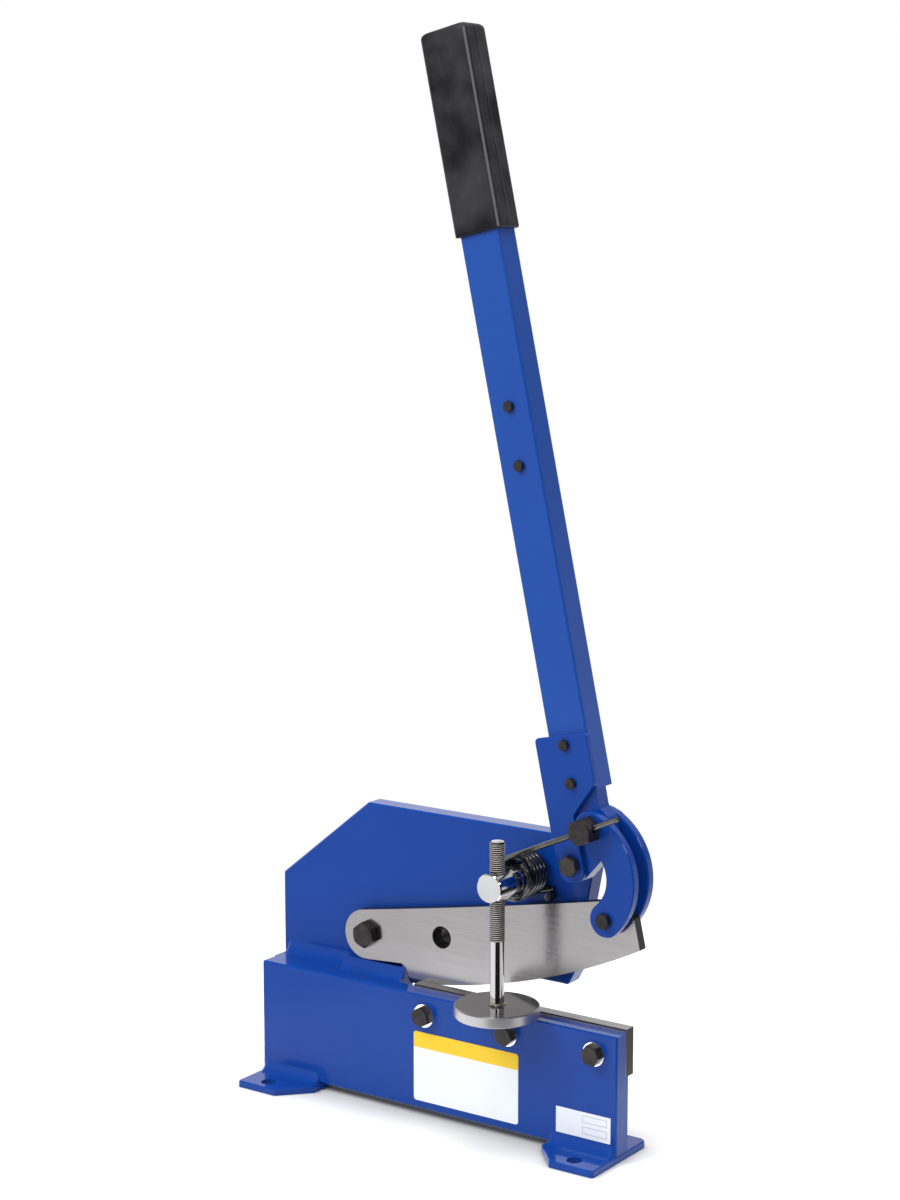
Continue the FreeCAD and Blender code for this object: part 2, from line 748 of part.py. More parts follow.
def link_nut():
    # the bolt's threaded end and its nut behind the rear link
    end = rod_along_y(*link_bolt_place, m6["shank"], link_rear_face_y, link_rear_back_y + m6["head"] + 3.0)
    return end.fuse(domed_hexagon(*link_bolt_place, m6["flats"], link_rear_back_y,
                                  link_rear_back_y + m6["head"] + 1.0, False, 7.0)).removeSplitter()


# Spring bolt, spring and hold-down

coil_centre = (stub_x, spring_coil_z)


def arm_direction():
    # the spring's upper leg is tangent to the coil and crosses the spring bolt's axis
    dx = spring_bolt_place[0] - coil_centre[0]
    dz = spring_bolt_place[1] - coil_centre[1]
    distance = math.hypot(dx, dz)
    angle = math.atan2(dz, dx) - math.asin(spring_mean_radius / distance)
    return Vector(math.cos(angle), 0, math.sin(angle)), angle, distance


def spring_bolt():
    # long hexagon head with a cross hole that the spring's leg slides through
    direction, angle, distance = arm_direction()
    x, z = spring_bolt_place
    head_back = link_front_face_y - side_play
    head = domed_hexagon(x, z, m10["flats"], head_back - spring_bolt_head, head_back, True, 90.0)
    head.rotate(Vector(x, 0, z), Vector(0, 1, 0), -math.degrees(angle))
    shank = rod_along_y(x, z, m10["shank"], head_back - 1.0, link_rear_back_y + side_play + m10["head"])
    nut = domed_hexagon(x, z, m10["flats"], link_rear_back_y + side_play,
                        link_rear_back_y + side_play + m10["head"], False, 10.0)
    across_arm = Vector(-direction.z, 0, direction.x)
    hole_start = Vector(x, arm_y, z) - direction * m10["flats"] - across_arm * cross_hole_offset
    hole = Part.makeCylinder(cross_hole_radius, 2 * m10["flats"], hole_start, direction)
    return head.fuse([shank, nut]).cut(hole).removeSplitter()


def wire_section(place, heading):
    return Part.Face(Part.Wire(Part.makeCircle(spring_wire / 2, place, heading)))


def spring_arm():
    # the front turn and the straight leg that runs from it through the spring bolt
    direction, angle, distance = arm_direction()
    centre = Vector(coil_centre[0], arm_y, coil_centre[1])
    start = centre + Vector(-direction.z, 0, direction.x) * spring_mean_radius
    leg_length = math.sqrt(distance ** 2 - spring_mean_radius ** 2) + spring_end_past_bolt
    turn = wire_section(start, direction).revolve(centre, Vector(0, -1, 0), spring_front_turn_deg)
    leg = Part.makeCylinder(spring_wire / 2, leg_length, start, direction)
    return turn.fuse(leg)


def spring_coil():
    # the other turns, round the stub, and the short leg that bears down on the stop pin;
    # each half turn is flat, and they lean by turns so that one runs on into the next
    direction, angle, distance = arm_direction()
    start_deg = math.degrees(angle) + 90 + spring_front_turn_deg + spring_gap_deg
    dx = stop_pin_x - coil_centre[0]
    dz = stop_pin_z + stop_pin_radius + spring_wire / 2 - coil_centre[1]
    to_pin = math.hypot(dx, dz)
    leg_deg = math.degrees(math.atan2(dz, dx) + math.asin(spring_mean_radius / to_pin))
    end_deg = leg_deg - 90
    while end_deg < start_deg + 360 * spring_turns:
        end_deg += 360
    front_y = arm_y + spring_wire + spring_front_gap
    back_y = back_plate_front_y - spring_wire / 2 - spring_back_gap
    half_pitch = (back_y - front_y) * 180 / (end_deg - start_deg)
    pieces = []
    joint_deg = end_deg
    joint_y = back_y
    while joint_deg > start_deg + 1e-6:
        joint = math.radians(joint_deg)
        middle = Vector(coil_centre[0], joint_y - half_pitch / 2, coil_centre[1])
        outward = Vector(math.cos(joint), 0, math.sin(joint))
        backward = Vector(math.sin(joint), 0, -math.cos(joint))
        place = Vector(coil_centre[0], joint_y, coil_centre[1]) + outward * spring_mean_radius
        if not pieces:
            leg_length = math.sqrt(to_pin ** 2 - spring_mean_radius ** 2) + spring_leg_past_pin
            pieces.append(Part.makeCylinder(spring_wire / 2, leg_length, place, backward * -1))
        axis = (place - middle).cross(backward)
        pieces.append(wire_section(place, backward).revolve(middle, axis, min(180.0, joint_deg - start_deg)))
        joint_deg -= 180
        joint_y -= half_pitch
    return pieces[0].fuse(pieces[1:])


def stop_pin():
    return rod_along_y(stop_pin_x, stop_pin_z, stop_pin_radius, back_plate_front_y - stop_pin_reach,
                       back_plate_front_y)


def hold_down_stub():
    bar = rod_along_y(stub_x, stub_z, stub_radius, stub_face_y, back_plate_front_y)
    bar = bar.makeChamfer(0.8, front_edges(bar, stub_face_y))
    hole = Part.makeCylinder(rod_radius + running_play, 4 * stub_radius, Vector(stub_x, rod_y, stub_z - 2 * stub_radius))
    return bar.cut(hole)


def hold_down_rod():
    bottom = lower_blade_top_z + disc_lift + disc_thickness
    smooth_top = bottom + rod_smooth_length
    smooth = Part.makeCylinder(rod_neck_radius, rod_smooth_length, Vector(stub_x, rod_y, bottom))
    threaded = Part.makeCylinder(rod_radius, rod_top_z - smooth_top, Vector(stub_x, rod_y, smooth_top))
    threaded = threaded.makeChamfer(0.7, [edge for edge in threaded.Edges
                                          if edge.BoundBox.ZMin > rod_top_z - 1e-3])
    foot_bead = Part.makeCone(rod_neck_radius + 2.0, rod_neck_radius, 2.0, Vector(stub_x, rod_y, bottom))
    return smooth.fuse([threaded, foot_bead]).removeSplitter()


def hold_down_disc():
    bottom = lower_blade_top_z + disc_lift
    disc = Part.makeCylinder(disc_radius, disc_thickness, Vector(stub_x, rod_y, bottom))
    return disc.makeChamfer(0.8, [edge for edge in disc.Edges if edge.BoundBox.ZLength < 1e-6])


def main():
    solids = {
        "front_plate": front_plate(),
        "back_plate": back_plate(),
        "joining_block": joining_block(),
        "shelf_weld": shelf_weld(),
        "foot_left": foot(-1),
        "foot_right": foot(1),
        "foot_weld_left": foot_weld(-1),
        "foot_weld_right": foot_weld(1),
        "lower_blade": lower_blade(),
        "lower_blade_bolts": blade_bolts(),
        "lower_blade_washers": blade_washers(),
        "blade_pivot_bolt": blade_pivot_bolt(),
        "blade_pivot_washer": blade_pivot_washer(),
        "blade_pivot_nut": blade_pivot_nut(),
        "upper_blade": upper_blade(),
        "blade_link_pin": blade_link_pin(),
        "lever_pivot_bolt": lever_pivot_bolt(),
        "lever_pivot_nut": lever_pivot_nut(),
        "lever_cheek": lever_cheek(),
        "lever_neck": lever_neck(),
        "handle_lower_tube": square_tube(tube_bottom_along, tube_joint_along, cheek_places + joint_places[:1]),
        "handle_upper_tube": square_tube(tube_joint_along, tube_top_along, joint_places[1:]),
        "handle_sleeve": handle_sleeve(),
        "handle_bolts": through_bolts(joint_places, neck_front_y),
        "handle_nuts": through_nuts(joint_places),
        "cheek_bolts": through_bolts(cheek_places, cheek_front_y),
        "cheek_nuts": through_nuts(cheek_places),
        "handle_grip": handle_grip(),
        "link_front": link(link_front_face_y),
        "link_rear": link(link_rear_face_y),
        "link_bolt": link_bolt(),
        "link_nut": link_nut(),
        "spring_bolt": spring_bolt(),
        "spring_arm": spring_arm(),
        "spring_coil": spring_coil(),
        "spring_stop_pin": stop_pin(),
        "hold_down_stub": hold_down_stub(),
        "hold_down_rod": hold_down_rod(),
        "hold_down_disc": hold_down_disc(),
    }
    os.makedirs("parts", exist_ok=True)
    for name, shape in solids.items():
        if not shape.isValid() or shape.Volume <= 0:
            print("bad shape:", name)
        shape.exportStep("parts/" + name + ".step")
    print(len(solids), "nodes")


main()
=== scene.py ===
import json
import math
import bmesh
import bpy
import numpy as np
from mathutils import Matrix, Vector


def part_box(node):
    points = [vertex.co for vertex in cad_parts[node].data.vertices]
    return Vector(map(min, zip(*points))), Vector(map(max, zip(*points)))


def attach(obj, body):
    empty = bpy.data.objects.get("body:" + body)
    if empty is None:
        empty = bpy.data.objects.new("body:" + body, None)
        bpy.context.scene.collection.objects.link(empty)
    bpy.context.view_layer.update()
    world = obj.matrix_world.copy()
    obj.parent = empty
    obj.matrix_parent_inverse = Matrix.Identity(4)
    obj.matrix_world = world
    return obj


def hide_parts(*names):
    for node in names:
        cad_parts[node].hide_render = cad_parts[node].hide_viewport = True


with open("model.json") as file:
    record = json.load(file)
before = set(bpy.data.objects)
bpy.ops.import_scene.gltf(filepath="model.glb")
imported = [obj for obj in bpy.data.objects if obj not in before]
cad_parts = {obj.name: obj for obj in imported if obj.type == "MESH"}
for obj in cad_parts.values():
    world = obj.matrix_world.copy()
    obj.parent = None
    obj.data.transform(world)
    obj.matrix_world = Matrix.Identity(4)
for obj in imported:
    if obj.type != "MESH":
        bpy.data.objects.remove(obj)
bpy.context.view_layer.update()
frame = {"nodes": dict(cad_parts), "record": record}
mm = 0.001    # the pieces' sizes are typed in mm, and Blender's unit is the metre
print("frame loaded:", len(frame["nodes"]), "nodes")


# places read from the frame


def jointAt(name):
    # a joint's (x, z) in mm
    joint = next(j for j in frame["record"]["behaviour"]["joints"] if j["name"] == name)
    x, _, z = joint["pos_m"]
    return round(x / mm, 4), round(z / mm, 4)


def boxOf(name):
    # a node's lowest and highest corner, in mm
    low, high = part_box(name)
    return [round(v / mm, 4) for v in low], [round(v / mm, 4) for v in high]


# mesh helpers

meshCare = {"mergeWithin": 2e-6, "thinEdge": 1e-6}


def gridQuads(rows, cols):
    # corner numbers of a rows x cols grid of points whose last column joins the first
    row, col = np.meshgrid(np.arange(rows - 1), np.arange(cols), indexing="ij")
    here = row * cols
    beside = (col + 1) % cols
    return np.stack([here + col, here + beside, here + cols + beside, here + cols + col], -1).reshape(-1, 4)


def closedMesh(name, surfaces, sharp):
    # one mesh of closed tubes: each surface is a grid of points in mm (rows x cols x 3), capped at both ends
    verts, faces, start = [], [], 0
    for points in surfaces:
        rows, cols = points.shape[:2]
        last = start + (rows - 1) * cols
        verts.append(points.reshape(-1, 3) * mm)
        faces += (gridQuads(rows, cols) + start).tolist()
        faces.append(list(range(start, start + cols)))
        faces.append(list(range(last, last + cols)))
        start += rows * cols
    mesh = bpy.data.meshes.new(name)
    mesh.from_pydata(np.concatenate(verts).tolist(), [], faces)
    bm = bmesh.new()
    bm.from_mesh(mesh)
    bmesh.ops.remove_doubles(bm, verts=bm.verts, dist=meshCare["mergeWithin"])
    bmesh.ops.dissolve_degenerate(bm, edges=bm.edges, dist=meshCare["thinEdge"])
    bmesh.ops.recalc_face_normals(bm, faces=bm.faces)
    bm.to_mesh(mesh)
    bm.free()
    mesh.polygons.foreach_set("use_smooth", np.ones(len(mesh.polygons), bool))
    mesh.set_sharp_from_angle(angle=math.radians(sharp))
    return mesh


def makePiece(name, surfaces, material, body, replaced=(), sharp=35.0):
    mesh = closedMesh(name, surfaces, sharp)
    mesh.materials.append(material)
    piece = bpy.data.objects.new(name, mesh)
    bpy.context.scene.collection.objects.link(piece)
    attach(piece, body)
    if replaced:
        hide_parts(*replaced)


def wholeTurn(sides):
    return np.linspace(0, 2 * np.pi, sides, endpoint=False)


def ringAbout(axis, angle):
    # the axis's own direction, and the direction cos a * X + sin a * second across it for each angle a
    along = {"y": (0.0, 1.0, 0.0), "z": (0.0, 0.0, 1.0)}[axis]
    second = {"y": (0.0, 0.0, 1.0), "z": (0.0, 1.0, 0.0)}[axis]
    ring = np.cos(angle)[:, None] * np.array([1.0, 0.0, 0.0]) + np.sin(angle)[:, None] * np.array(second)
    return np.array(along), ring


def turned(profile, centre, axis, sides):
    # a lathe surface: point = centre + axis * h + r * ring(a), for each (r, h) of the profile
    profile = np.asarray(profile, float)
    along, ring = ringAbout(axis, wholeTurn(sides))
    r = profile[:, 0, None, None]
    h = profile[:, 1, None, None]
    return np.asarray(centre, float) + h * along + r * ring[None]


threadForm = {"rowsPerTurn": 8, "fewestRows": 8, "flankPower": 0.8, "endShrink": 0.16, "endChamfer": 1.0}


def threaded(centre, axis, low, high, radius, depth, pitch, sides):
    # a screw thread: radius falls by depth * (1 - |2 phase - 1|) ** flankPower, phase = h / pitch - a / 2 pi;
    # the end at high draws in over its chamfer
    form = threadForm
    rows = max(form["fewestRows"], int(round((high - low) / pitch * form["rowsPerTurn"])))
    h = np.linspace(low, high, rows + 1)
    angle = wholeTurn(sides)
    phase = (h[:, None] / pitch - angle[None] / (2 * np.pi)) % 1.0
    groove = depth * (1 - np.abs(2 * phase - 1)) ** form["flankPower"]
    fromEnd = np.clip((high - h) / form["endChamfer"], 0, 1)[:, None]
    r = (radius - groove) * (1 - form["endShrink"] * (1 - fromEnd))
    along, ring = ringAbout(axis, angle)
    return np.asarray(centre, float) + h[:, None, None] * along + r[:, :, None] * ring[None]


wireForm = {"sides": 20, "endShrink": 0.22, "endReach": 0.35}


def wireAlong(path, radius):
    # a round wire: each path point carries a circle across the path, a little smaller at the cut ends
    form = wireForm
    path = np.asarray(path, float)
    tangent = np.gradient(path, axis=0)
    tangent /= np.linalg.norm(tangent, axis=1)[:, None]
    side = np.cross(tangent, np.array([0.0, 1.0, 0.0]))
    side /= np.linalg.norm(side, axis=1)[:, None]
    up = np.cross(side, tangent)
    angle = wholeTurn(form["sides"])
    ring = np.cos(angle)[None, :, None] * side[:, None] + np.sin(angle)[None, :, None] * up[:, None]
    travelled = np.concatenate([[0], np.cumsum(np.linalg.norm(np.diff(path, axis=0), axis=1))])
    fromEnd = np.minimum(travelled, travelled[-1] - travelled)
    near = 1 - np.clip(fromEnd / (form["endReach"] * radius), 0, 1)
    r = radius * (1 - form["endShrink"] * near ** 2)
    return path[:, None] + ring * r[:, None, None]


def roundedSection(perCorner, perSide):
    # a rounded rectangle as four arrays: point = (half - corner) * slide + corner * turn, for each direction;
    # slide stays at a corner's sign while turn sweeps, and runs to the next sign along a straight side
    signs = np.array([(1, 1), (-1, 1), (-1, -1), (1, -1), (1, 1)], float)
    sweep = np.linspace(0, np.pi / 2, perCorner)
    run = np.linspace(0, 1, perSide + 2)[1:-1, None]
    slide, turn = [], []
    for k in range(4):
        angle = sweep + k * np.pi / 2
        last = (k + 1) * np.pi / 2
        slide.append(np.repeat(signs[k:k + 1], perCorner, 0))
        slide.append(signs[k] + run * (signs[k + 1] - signs[k]))
        turn.append(np.stack([np.cos(angle), np.sin(angle)], 1))
        turn.append(np.repeat([[np.cos(last), np.sin(last)]], perSide, 0))
    return np.concatenate(slide), np.concatenate(turn)


def roundedRect(left, right, low, high, corner, perCorner=8):
    # outline of a rectangle with round corners, anticlockwise, as an array of (x, z)
    slide, turn = roundedSection(perCorner, 0)
    half = np.array([(right - left) / 2, (high - low) / 2])
    return np.array([(left + right) / 2, (low + high) / 2]) + (half - corner) * slide + corner * turn


def sheetAt(outline, front, thickness):
    # a flat outline (x, z) raised from y = front + thickness to y = front
    back = np.insert(outline, 1, front + thickness, axis=1)
    face = np.insert(outline, 1, front, axis=1)
    return np.stack([back, face])


# shader helpers


def newGroup(name, inputs, outputs):
    group = bpy.data.node_groups.new(name, "ShaderNodeTree")
    for label, kind, default in inputs:
        socket = group.interface.new_socket(name=label, in_out="INPUT", socket_type=kind)
        if default is not None:
            socket.default_value = default
    for label, kind in outputs:
        group.interface.new_socket(name=label, in_out="OUTPUT", socket_type=kind)
    return group, group.nodes.new("NodeGroupInput").outputs, group.nodes.new("NodeGroupOutput").inputs


def feed(tree, socket, value):
    # a socket takes a link from an output socket, or a plain value
    if isinstance(value, bpy.types.NodeSocket):
        tree.links.new(value, socket)
    else:
        socket.default_value = value


def addNode(tree, kind, settings=None):
    # each setting is one of the node's own attributes, or goes to the socket of that name or number
    node = tree.nodes.new(kind)
    for key, value in (settings or {}).items():
        if isinstance(key, str) and hasattr(node, key):
            setattr(node, key, value)
        else:
            feed(tree, node.inputs[key], value)
    return node


def placeGroup(tree, group, settings):
    return addNode(tree, "ShaderNodeGroup", {"node_tree": group, **settings}).outputs


def mixColor(tree, share, first, second):
    # first where share is 0 and second where it is 1
    return addNode(tree, "ShaderNodeMix", {"data_type": "RGBA", 0: share, 6: first, 7: second}).outputs[2]


def mixFloat(tree, share, first, second):
    return addNode(tree, "ShaderNodeMix", {"data_type": "FLOAT", 0: share, 2: first, 3: second}).outputs[0]


def carried(tree, value, fromLow, fromHigh, toLow=0.0, toHigh=1.0, kind="LINEAR"):
    # value carried from one span to another and held at its ends
    return addNode(tree, "ShaderNodeMapRange", {"interpolation_type": kind, 0: value, 1: fromLow, 2: fromHigh,
                                                3: toLow, 4: toHigh}).outputs[0]


def stepBetween(tree, value, low, high):
    # 0 below low, 1 above high, and a soft rise between them; with high below low, the other way round
    return carried(tree, value, low, high, kind="SMOOTHSTEP")


def worked(tree, operation, first, second):
    return addNode(tree, "ShaderNodeMath", {"operation": operation, 0: first, 1: second}).outputs[0]


def vectorWorked(tree, operation, first, second):
    return addNode(tree, "ShaderNodeVectorMath", {"operation": operation, 0: first, 1: second}).outputs


def lengthOf(tree, vector):
    return addNode(tree, "ShaderNodeVectorMath", {"operation": "LENGTH", 0: vector}).outputs["Value"]


noiseLow, noiseHigh = 0.3, 0.7    # the span that most of a noise's values fall in
patchLow, patchHigh = 0.35, 0.68    # a tighter one, so that patches have an edge


def buildTintField():
    # soft patches of one colour in another: noise on the given vector, spread between the two colours
    tree, given, out = newGroup(
        "tintField",
        [("Vector", "NodeSocketVector", None), ("Scale", "NodeSocketFloat", 8.0),
         ("Main", "NodeSocketColor", (0.1, 0.1, 0.1, 1)), ("Other", "NodeSocketColor", (0.2, 0.2, 0.2, 1)),
         ("Amount", "NodeSocketFloat", 1.0)],
        [("Color", "NodeSocketColor")])
    noise = addNode(tree, "ShaderNodeTexNoise", {"Detail": 5.0, "Roughness": 0.55, "Vector": given["Vector"],
                                                 "Scale": given["Scale"]})
    spread = carried(tree, noise.outputs[0], patchLow, patchHigh)
    amount = worked(tree, "MULTIPLY", spread, given["Amount"])
    tree.links.new(mixColor(tree, amount, given["Main"], given["Other"]), out["Color"])
    return tree


def buildFineBump():
    # a small rise and fall of the surface: noise height turned into a normal, and a roughness that follows it
    tree, given, out = newGroup(
        "fineBump",
        [("Vector", "NodeSocketVector", None), ("Scale", "NodeSocketFloat", 300.0),
         ("Strength", "NodeSocketFloat", 0.1), ("Depth", "NodeSocketFloat", 0.0002),
         ("Low", "NodeSocketFloat", 0.2), ("High", "NodeSocketFloat", 0.3)],
        [("Normal", "NodeSocketVector"), ("Roughness", "NodeSocketFloat")])
    noise = addNode(tree, "ShaderNodeTexNoise", {"Detail": 3.0, "Vector": given["Vector"],
                                                 "Scale": given["Scale"]})
    bump = addNode(tree, "ShaderNodeBump", {"Height": noise.outputs[0], "Strength": given["Strength"],
                                            "Distance": given["Depth"]})
    rough = carried(tree, noise.outputs[0], noiseLow, noiseHigh, given["Low"], given["High"])
    tree.links.new(bump.outputs[0], out["Normal"])
    tree.links.new(rough, out["Roughness"])
    return tree


def buildGroundLines():
    # grinding marks: noise squeezed across the stroke and stretched along it
    tree, given, out = newGroup(
        "groundLines",
        [("Vector", "NodeSocketVector", None), ("Along", "NodeSocketFloat", 6.0),
         ("Across", "NodeSocketFloat", 900.0), ("Strength", "NodeSocketFloat", 0.2),
         ("Low", "NodeSocketFloat", 0.25), ("High", "NodeSocketFloat", 0.45)],
        [("Value", "NodeSocketFloat"), ("Normal", "NodeSocketVector"), ("Roughness", "NodeSocketFloat")])
    scale = addNode(tree, "ShaderNodeCombineXYZ", {0: given["Along"], 1: given["Across"], 2: given["Across"]})
    stretched = vectorWorked(tree, "MULTIPLY", given["Vector"], scale.outputs[0])[0]
    noise = addNode(tree, "ShaderNodeTexNoise", {"Scale": 1.0, "Detail": 4.0, "Roughness": 0.6,
                                                 "Vector": stretched})
    bump = addNode(tree, "ShaderNodeBump", {"Distance": 0.00008, "Height": noise.outputs[0],
                                            "Strength": given["Strength"]})
    rough = carried(tree, noise.outputs[0], noiseLow, noiseHigh, given["Low"], given["High"])
    tree.links.new(noise.outputs[0], out["Value"])
    tree.links.new(bump.outputs[0], out["Normal"])
    tree.links.new(rough, out["Roughness"])
    return tree


def buildFacing():
    # how far a surface faces along one direction of the object, either way: 1 square on, 0 edge on
    tree, given, out = newGroup("facing", [("Direction", "NodeSocketVector", (0.0, 1.0, 0.0))],
                                [("Value", "NodeSocketFloat")])
    normal = tree.nodes.new("ShaderNodeTexCoord").outputs["Normal"]
    dot = vectorWorked(tree, "DOT_PRODUCT", normal, given["Direction"])["Value"]
    size = addNode(tree, "ShaderNodeMath", {"operation": "ABSOLUTE", 0: dot})
    tree.links.new(size.outputs[0], out["Value"])
    return tree


tintField = buildTintField()
fineBump = buildFineBump()
groundLines = buildGroundLines()
facing = buildFacing()


def newMaterial(name, fixed):
    # a material with the object's own coordinates ready, and fixed numbers on the shader itself
    material = bpy.data.materials.new(name)
    material.use_nodes = True
    tree = material.node_tree
    shader = tree.nodes["Principled BSDF"]
    for key, value in fixed.items():
        shader.inputs[key].default_value = value
    place = tree.nodes.new("ShaderNodeTexCoord").outputs["Object"]
    material.diffuse_color = fixed["Base Color"]
    return material, tree, shader, place


def surfaceOf(tree, shader, found):
    # found is {shader socket: output socket}
    for key, source in found.items():
        tree.links.new(source, shader.inputs[key])


def fromAxis(tree, place, centre, across):
    # distance in metres from an axis through centre; across is 1 in the two directions across the axis
    moved = addNode(tree, "ShaderNodeMapping", {"Vector": place, "Location": tuple(-v for v in centre)})
    return lengthOf(tree, vectorWorked(tree, "MULTIPLY", moved.outputs[0], across)[0])


# the round bar hole's wall and rim are coloured near black as painted shade
boreLook = {"mount": "round_bar_hole", "radius": 7.0, "chamfer": 1.3, "edge": 0.2,
            "paintedBoreShade": (0.014, 0.012, 0.012, 1)}


def besideBore(tree, place):
    # 1 on the wall and rim of the round bar hole, which runs along Y, and 0 elsewhere; it places a near-black
    # painted shade there
    b = boreLook
    mount = next(m for m in frame["record"]["mounts"] if m["name"] == b["mount"])
    x, _, z = mount["pos_m"]
    distance = fromAxis(tree, place, (x, 0.0, z), (1.0, 0.0, 1.0))
    rim = (b["radius"] + b["chamfer"]) * mm
    return stepBetween(tree, distance, rim, rim - b["edge"] * mm)


# soft finishes: paint, oxide, zinc, wire, drawn bar and stickers

enamel = {"patches": 9.0, "grain": 300.0, "relief": 0.03, "rough": (0.3, 0.4), "film": (0.3, 1.0),
          "fixed": {"Coat Roughness": 0.045, "Specular IOR Level": 0.1}}
frameBlue = {"main": (0.003, 0.045, 0.288, 1), "other": (0.004, 0.051, 0.307, 1)}
handleBlue = {"main": (0.01, 0.066, 0.34, 1), "other": (0.012, 0.073, 0.36, 1)}
oxide = {"patches": 160.0, "grain": 900.0, "relief": 0.25}
sticker = {"patches": 60.0, "grain": 900.0, "relief": 0.05, "rough": (0.34, 0.42),
           "fixed": {"Specular IOR Level": 0.3}}
softLooks = {
    "frameEnamel": {**enamel, **frameBlue},
    "boredEnamel": {**enamel, **frameBlue, "bored": True},
    "handleEnamel": {**enamel, **handleBlue},
    "blackOxide": {**oxide, "main": (0.021, 0.019, 0.019, 1), "other": (0.044, 0.039, 0.037, 1),
                   "rough": (0.26, 0.42), "fixed": {"Metallic": 0.5}},
    "wornOxide": {**oxide, "main": (0.074, 0.067, 0.062, 1), "other": (0.05, 0.045, 0.041, 1),
                  "rough": (0.3, 0.46), "fixed": {"Metallic": 0.7}},
    "brightZinc": {"main": (0.95, 0.96, 0.98, 1), "other": (0.86, 0.87, 0.9, 1), "patches": 220.0,
                   "grain": 700.0, "relief": 0.1, "rough": (0.14, 0.26), "fixed": {"Metallic": 1.0}},
    "oiledWire": {"main": (0.06, 0.06, 0.063, 1), "other": (0.13, 0.128, 0.128, 1), "patches": 90.0,
                  "grain": 1200.0, "relief": 0.1, "rough": (0.1, 0.2),
                  "fixed": {"Metallic": 0.9, "Coat Weight": 0.9, "Coat Roughness": 0.05}},
    "drawnBar": {"main": (0.82, 0.83, 0.85, 1), "other": (0.74, 0.75, 0.77, 1), "patches": 60.0,
                 "grain": 1500.0, "relief": 0.06, "rough": (0.06, 0.13), "fixed": {"Metallic": 1.0}},
    "labelAmber": {**sticker, "main": (0.9, 0.6, 0.03, 1), "other": (0.87, 0.575, 0.028, 1)},
    "labelWhite": {**sticker, "main": (0.86, 0.9, 0.95, 1), "other": (0.83, 0.875, 0.93, 1)},
    "labelInk": {**sticker, "main": (0.25, 0.28, 0.32, 1), "other": (0.3, 0.33, 0.37, 1), "rough": (0.4, 0.5),
                 "fixed": {}},
}
filmFacing = (0.25, 0.8)    # where the clear film starts to show, and where it shows in full
grainDepth = 0.0001


def grainOf(tree, place, look):
    # the fine bump of a finish, from its grain, relief and rough
    low, high = look["rough"]
    return placeGroup(tree, fineBump, {"Vector": place, "Scale": look["grain"], "Strength": look["relief"],
                                       "Depth": grainDepth, "Low": low, "High": high})


def softFinish(name, look):
    material, tree, shader, place = newMaterial(name, {"Base Color": look["main"], **look["fixed"]})
    if "film" in look:
        # the clear film shows little square on and fully along the surface
        glance = addNode(tree, "ShaderNodeLayerWeight", {"Blend": 0.5}).outputs["Facing"]
        surfaceOf(tree, shader, {"Coat Weight": carried(tree, glance, *filmFacing, *look["film"])})
    colour = placeGroup(tree, tintField, {"Vector": place, "Scale": look["patches"], "Main": look["main"],
                                          "Other": look["other"]})["Color"]
    if "bored" in look:
        # painted shade in the round bar hole
        colour = mixColor(tree, besideBore(tree, place), colour, boreLook["paintedBoreShade"])
    grain = grainOf(tree, place, look)
    surfaceOf(tree, shader, {"Base Color": colour, "Normal": grain["Normal"],
                             "Roughness": grain["Roughness"]})
    return material


# blade steel

steelLook = {"ground": (0.478, 0.464, 0.472, 1), "groundOther": (0.415, 0.402, 0.41, 1), "patches": 14.0,
             "patchShare": 0.7, "along": 14.0, "across": 800.0, "relief": 0.09, "lineShade": (0.965, 1.03),
             "scale": (0.03, 0.03, 0.033, 1), "scaleMetal": 0.55, "rimHighlight": (0.85, 0.84, 0.84, 1),
             "rimFacing": 0.6, "rimWithin": 0.3}
upperSteel = {"groundWay": (0.0, 1.0, 0.0), "groundFacing": (0.9, 0.97), "rough": (0.17, 0.25), "rim": True}
lowerSteel = {"groundWay": (0.0, 1.0, 1.0), "groundFacing": (0.3, 0.5), "rough": (0.26, 0.36), "rim": False}


def bladeSteel(name, blade):
    # ground where it faces groundWay, dark mill scale elsewhere, and a painted highlight on the narrow rims
    # between
    look = steelLook
    low, high = blade["rough"]
    material, tree, shader, place = newMaterial(name, {"Base Color": look["ground"]})
    lines = placeGroup(tree, groundLines, {"Vector": place, "Along": look["along"], "Across": look["across"],
                                           "Strength": look["relief"], "Low": low, "High": high})
    patch = placeGroup(tree, tintField, {"Vector": place, "Scale": look["patches"], "Main": look["ground"],
                                         "Other": look["groundOther"], "Amount": look["patchShare"]})
    shade = carried(tree, lines["Value"], noiseLow, noiseHigh, *look["lineShade"])
    toned = addNode(tree, "ShaderNodeVectorMath", {"operation": "SCALE", 0: patch["Color"], "Scale": shade})
    faces = placeGroup(tree, facing, {"Direction": blade["groundWay"]})["Value"]
    ground = stepBetween(tree, faces, *blade["groundFacing"])
    colour = mixColor(tree, ground, look["scale"], toned.outputs[0])
    # the narrow rims get a pale painted highlight
    if blade["rim"]:
        onRim = addNode(tree, "ShaderNodeMath", {"operation": "COMPARE", 0: faces, 1: look["rimFacing"],
                                                 2: look["rimWithin"]})
        colour = mixColor(tree, onRim.outputs[0], colour, look["rimHighlight"])
        # painted shade round the round bar hole
        colour = mixColor(tree, besideBore(tree, place), colour, boreLook["paintedBoreShade"])
    metal = mixFloat(tree, ground, look["scaleMetal"], 1.0)
    surfaceOf(tree, shader, {"Base Color": colour, "Metallic": metal, "Normal": lines["Normal"],
                             "Roughness": lines["Roughness"]})
    return material


# hold-down steel: places from the frame, then the disc and the rod

